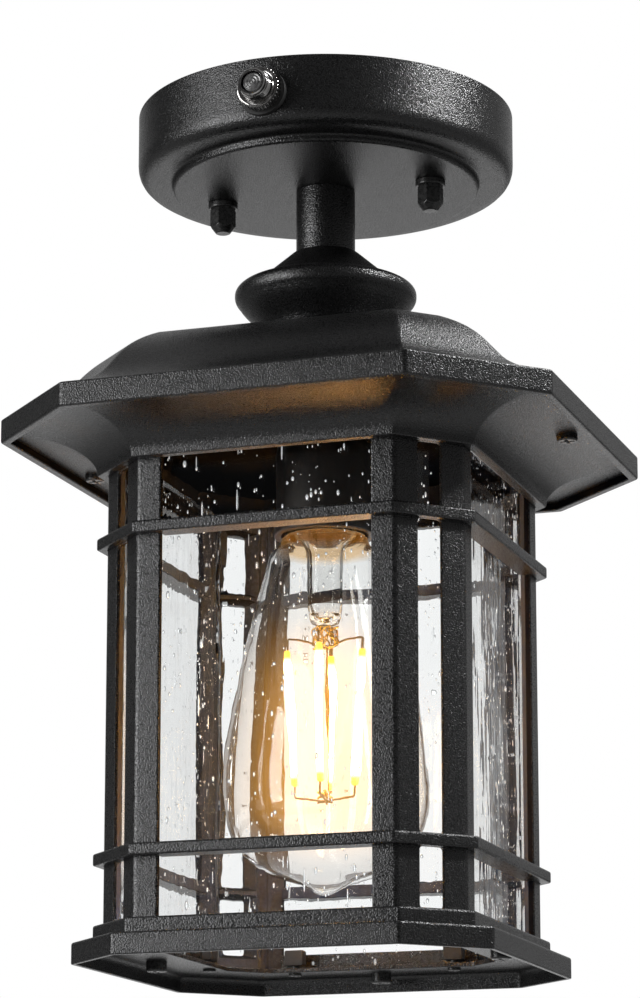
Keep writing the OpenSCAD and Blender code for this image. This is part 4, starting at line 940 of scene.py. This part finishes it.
# The wires' knot is a curve that swings across and up as it turns, and the star is four short wires.
turn = np.linspace(0, 2 * np.pi, 260)
swing = 2.9 + 1.2 * np.sin(11 * turn)
tangle = [swing * np.cos(4 * turn), 0.7 * swing * np.sin(4 * turn), -171.9 + 3.4 * np.sin(5 * turn + 1)]
knots = [drawn(np.stack(tangle, -1), KNOT_R, 8)]
for a, tilt in ((0.6, 1.1), (1.7, -1.1), (2.8, 1.1), (0.1, -1.1)):
    end = np.array([2.6 * math.cos(a), 2.6 * math.sin(a), tilt])
    knots.append(drawn([[0, 0, -222.2] + end, [0, 0, -222.2] - end], STAR_R))
gold_wire = speckled("gold_wire", 700, 0.00001, (1.0, 0.74, 0.28), (0.8, 0.52, 0.14), 0.3, 0.18,
                     Metallic=1.0)
knots = piece("wire_knots", joined(*knots), gold_wire, 50)
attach(knots, "bulb")

# ---------------- hidden fittings
# The crossbar, its screws, the threaded pipe and its nuts and washers are plated steel, and the
# ground screw is lacquered green. Their solids are right as they are.
for name in ("crossbar", "canopy_screws", "threaded_pipe", "canopy_pipe_washer", "canopy_pipe_nut",
             "roof_pipe_washer", "roof_pipe_nut"):
    keep(name, zinc)
green = speckled("green_lacquer", 500, 0.00001, (0.03, 0.32, 0.10), (0.02, 0.20, 0.06), 0.36, 0.24)
keep("ground_screw", green)

# ---------------- studio
# A pale floor below the lantern, a white surround and soft lamps. The camera looks up at the
# lantern from the right of its front. Metres.
FLOOR_SIZE, FLOOR_Z, MIDDLE_Z = 16, -1.4, -0.13
BACKDROP, RIGHT = (-0.275, 0.961, 0.0), (0.985, 0.174, 0.0)
WHITE = (1, 1, 1, 1)
scene = bpy.context.scene


def towards(tree, direction, aim):
    """The cosine of the angle between a direction of length one and an aim."""
    return node(tree, "VectorMath", direction, aim, operation="DOT_PRODUCT").outputs["Value"]


def one_long(tree, direction):
    """A direction brought to length one."""
    return node(tree, "VectorMath", direction, operation="NORMALIZE").outputs["Vector"]


bpy.ops.mesh.primitive_plane_add(size=FLOOR_SIZE, location=(0, 0, FLOOR_Z))
floor = bpy.context.object
floor.name = "floor"

# The floor is white to the camera and through glass, the more so far away. Gloss shows it only
# far behind the lantern.
floor_paint = finish("floor_paint", Roughness=0.9, Base_Color=(0.8, 0.8, 0.8, 1))
tree = floor_paint.node_tree
path = node(tree, "LightPath").outputs
place = node(tree, "TexCoord").outputs["Object"]
back = spread(tree, node(tree, "SeparateXYZ", place).outputs["Y"], 0.8, 3.0)
behind = spread(tree, towards(tree, one_long(tree, place), BACKDROP), 0.90, 0.98)
mirrored = combined(tree, "MULTIPLY", back, behind, path["Is Glossy Ray"])
seen = combined(tree, "MAXIMUM", path["Is Camera Ray"], path["Is Transmission Ray"], mirrored)
far = node(tree, "VectorMath", place, operation="LENGTH").outputs["Value"]
share = combined(tree, "MULTIPLY", seen, spread(tree, far, 0.8, 3.0, 0.7, 1.0))
mix_in(floor_paint, share, node(tree, "Emission", Color=WHITE, Strength=1.0))
floor.data.materials.append(floor_paint)

# The surround is white to the camera and through glass. Gloss shows white low behind the lantern,
# greys higher up behind, at the right and overhead, and next to nothing elsewhere.
world = bpy.data.worlds.new("studio")
scene.world = world
world.use_nodes = True
tree = world.node_tree
tree.nodes.clear()
direction = node(tree, "TexCoord").outputs["Generated"]
flat = node(tree, "VectorMath", direction, (1.0, 1.0, 0.4), operation="MULTIPLY").outputs["Vector"]
flat = one_long(tree, flat)
facing, rise = towards(tree, flat, BACKDROP), node(tree, "SeparateXYZ", direction).outputs["Z"]
low = spread(tree, rise, -0.12, 0.06, 1.0, 0.0)
low = combined(tree, "MULTIPLY", spread(tree, facing, 0.90, 0.98), low)
high = spread(tree, rise, -0.06, 0.10)
high = combined(tree, "MULTIPLY", spread(tree, facing, 0.72, 0.88, 0.0, 0.45), high)
beside = spread(tree, towards(tree, flat, RIGHT), 0.5, 0.9, 0.05, 0.28)
above = spread(tree, rise, 0.45, 0.85, 0.05, 0.35)
path = node(tree, "LightPath").outputs
straight = combined(tree, "LESS_THAN", path["Glossy Depth"], 0.5)
straight = combined(tree, "MULTIPLY", path["Is Transmission Ray"], straight)
level = combined(tree, "MAXIMUM", path["Is Camera Ray"], straight, low, high, beside, above)
sky = node(tree, "Background", Color=WHITE, Strength=level)
tree.links.new(sky.outputs[0], tree.nodes.new("ShaderNodeOutputWorld").inputs["Surface"])


def softbox(name, azimuth, height, distance, wide, tall, power):
    """A lamp that faces the lantern's middle, placed by its bearing from the front in degrees, its
    height against the lantern's middle and its distance from the lantern's axis."""
    lamp = bpy.data.lights.new(name, "AREA")
    lamp.shape, lamp.size, lamp.size_y, lamp.energy = "RECTANGLE", wide, tall, power
    a = math.radians(azimuth)
    made = bpy.data.objects.new(name, lamp)
    made.location = (math.sin(a) * distance, -math.cos(a) * distance, height + MIDDLE_Z)
    made.rotation_euler = (math.radians(90) - math.atan2(height, distance), 0, a)
    made.visible_camera = False
    scene.collection.objects.link(made)


softbox("key_right", 98, 0.74, 0.96, 0.18, 0.22, 13.5)
softbox("strip_left", -45, 0.07, 1.2, 0.6, 0.9, 14)
softbox("top_right_back", 146, 1.1, 0.75, 0.22, 0.22, 3.9)

lens = bpy.data.cameras.new("camera")
lens.sensor_width, lens.lens, lens.shift_y = 36, 123.44, 0.1503
camera = bpy.data.objects.new("camera", lens)
camera.location = (0.3385, -1.0041, -0.3899)
camera.rotation_euler = (math.radians(101.45), 0, math.radians(18.73))
scene.collection.objects.link(camera)
scene.camera = camera
scene.view_settings.view_transform = "Standard"
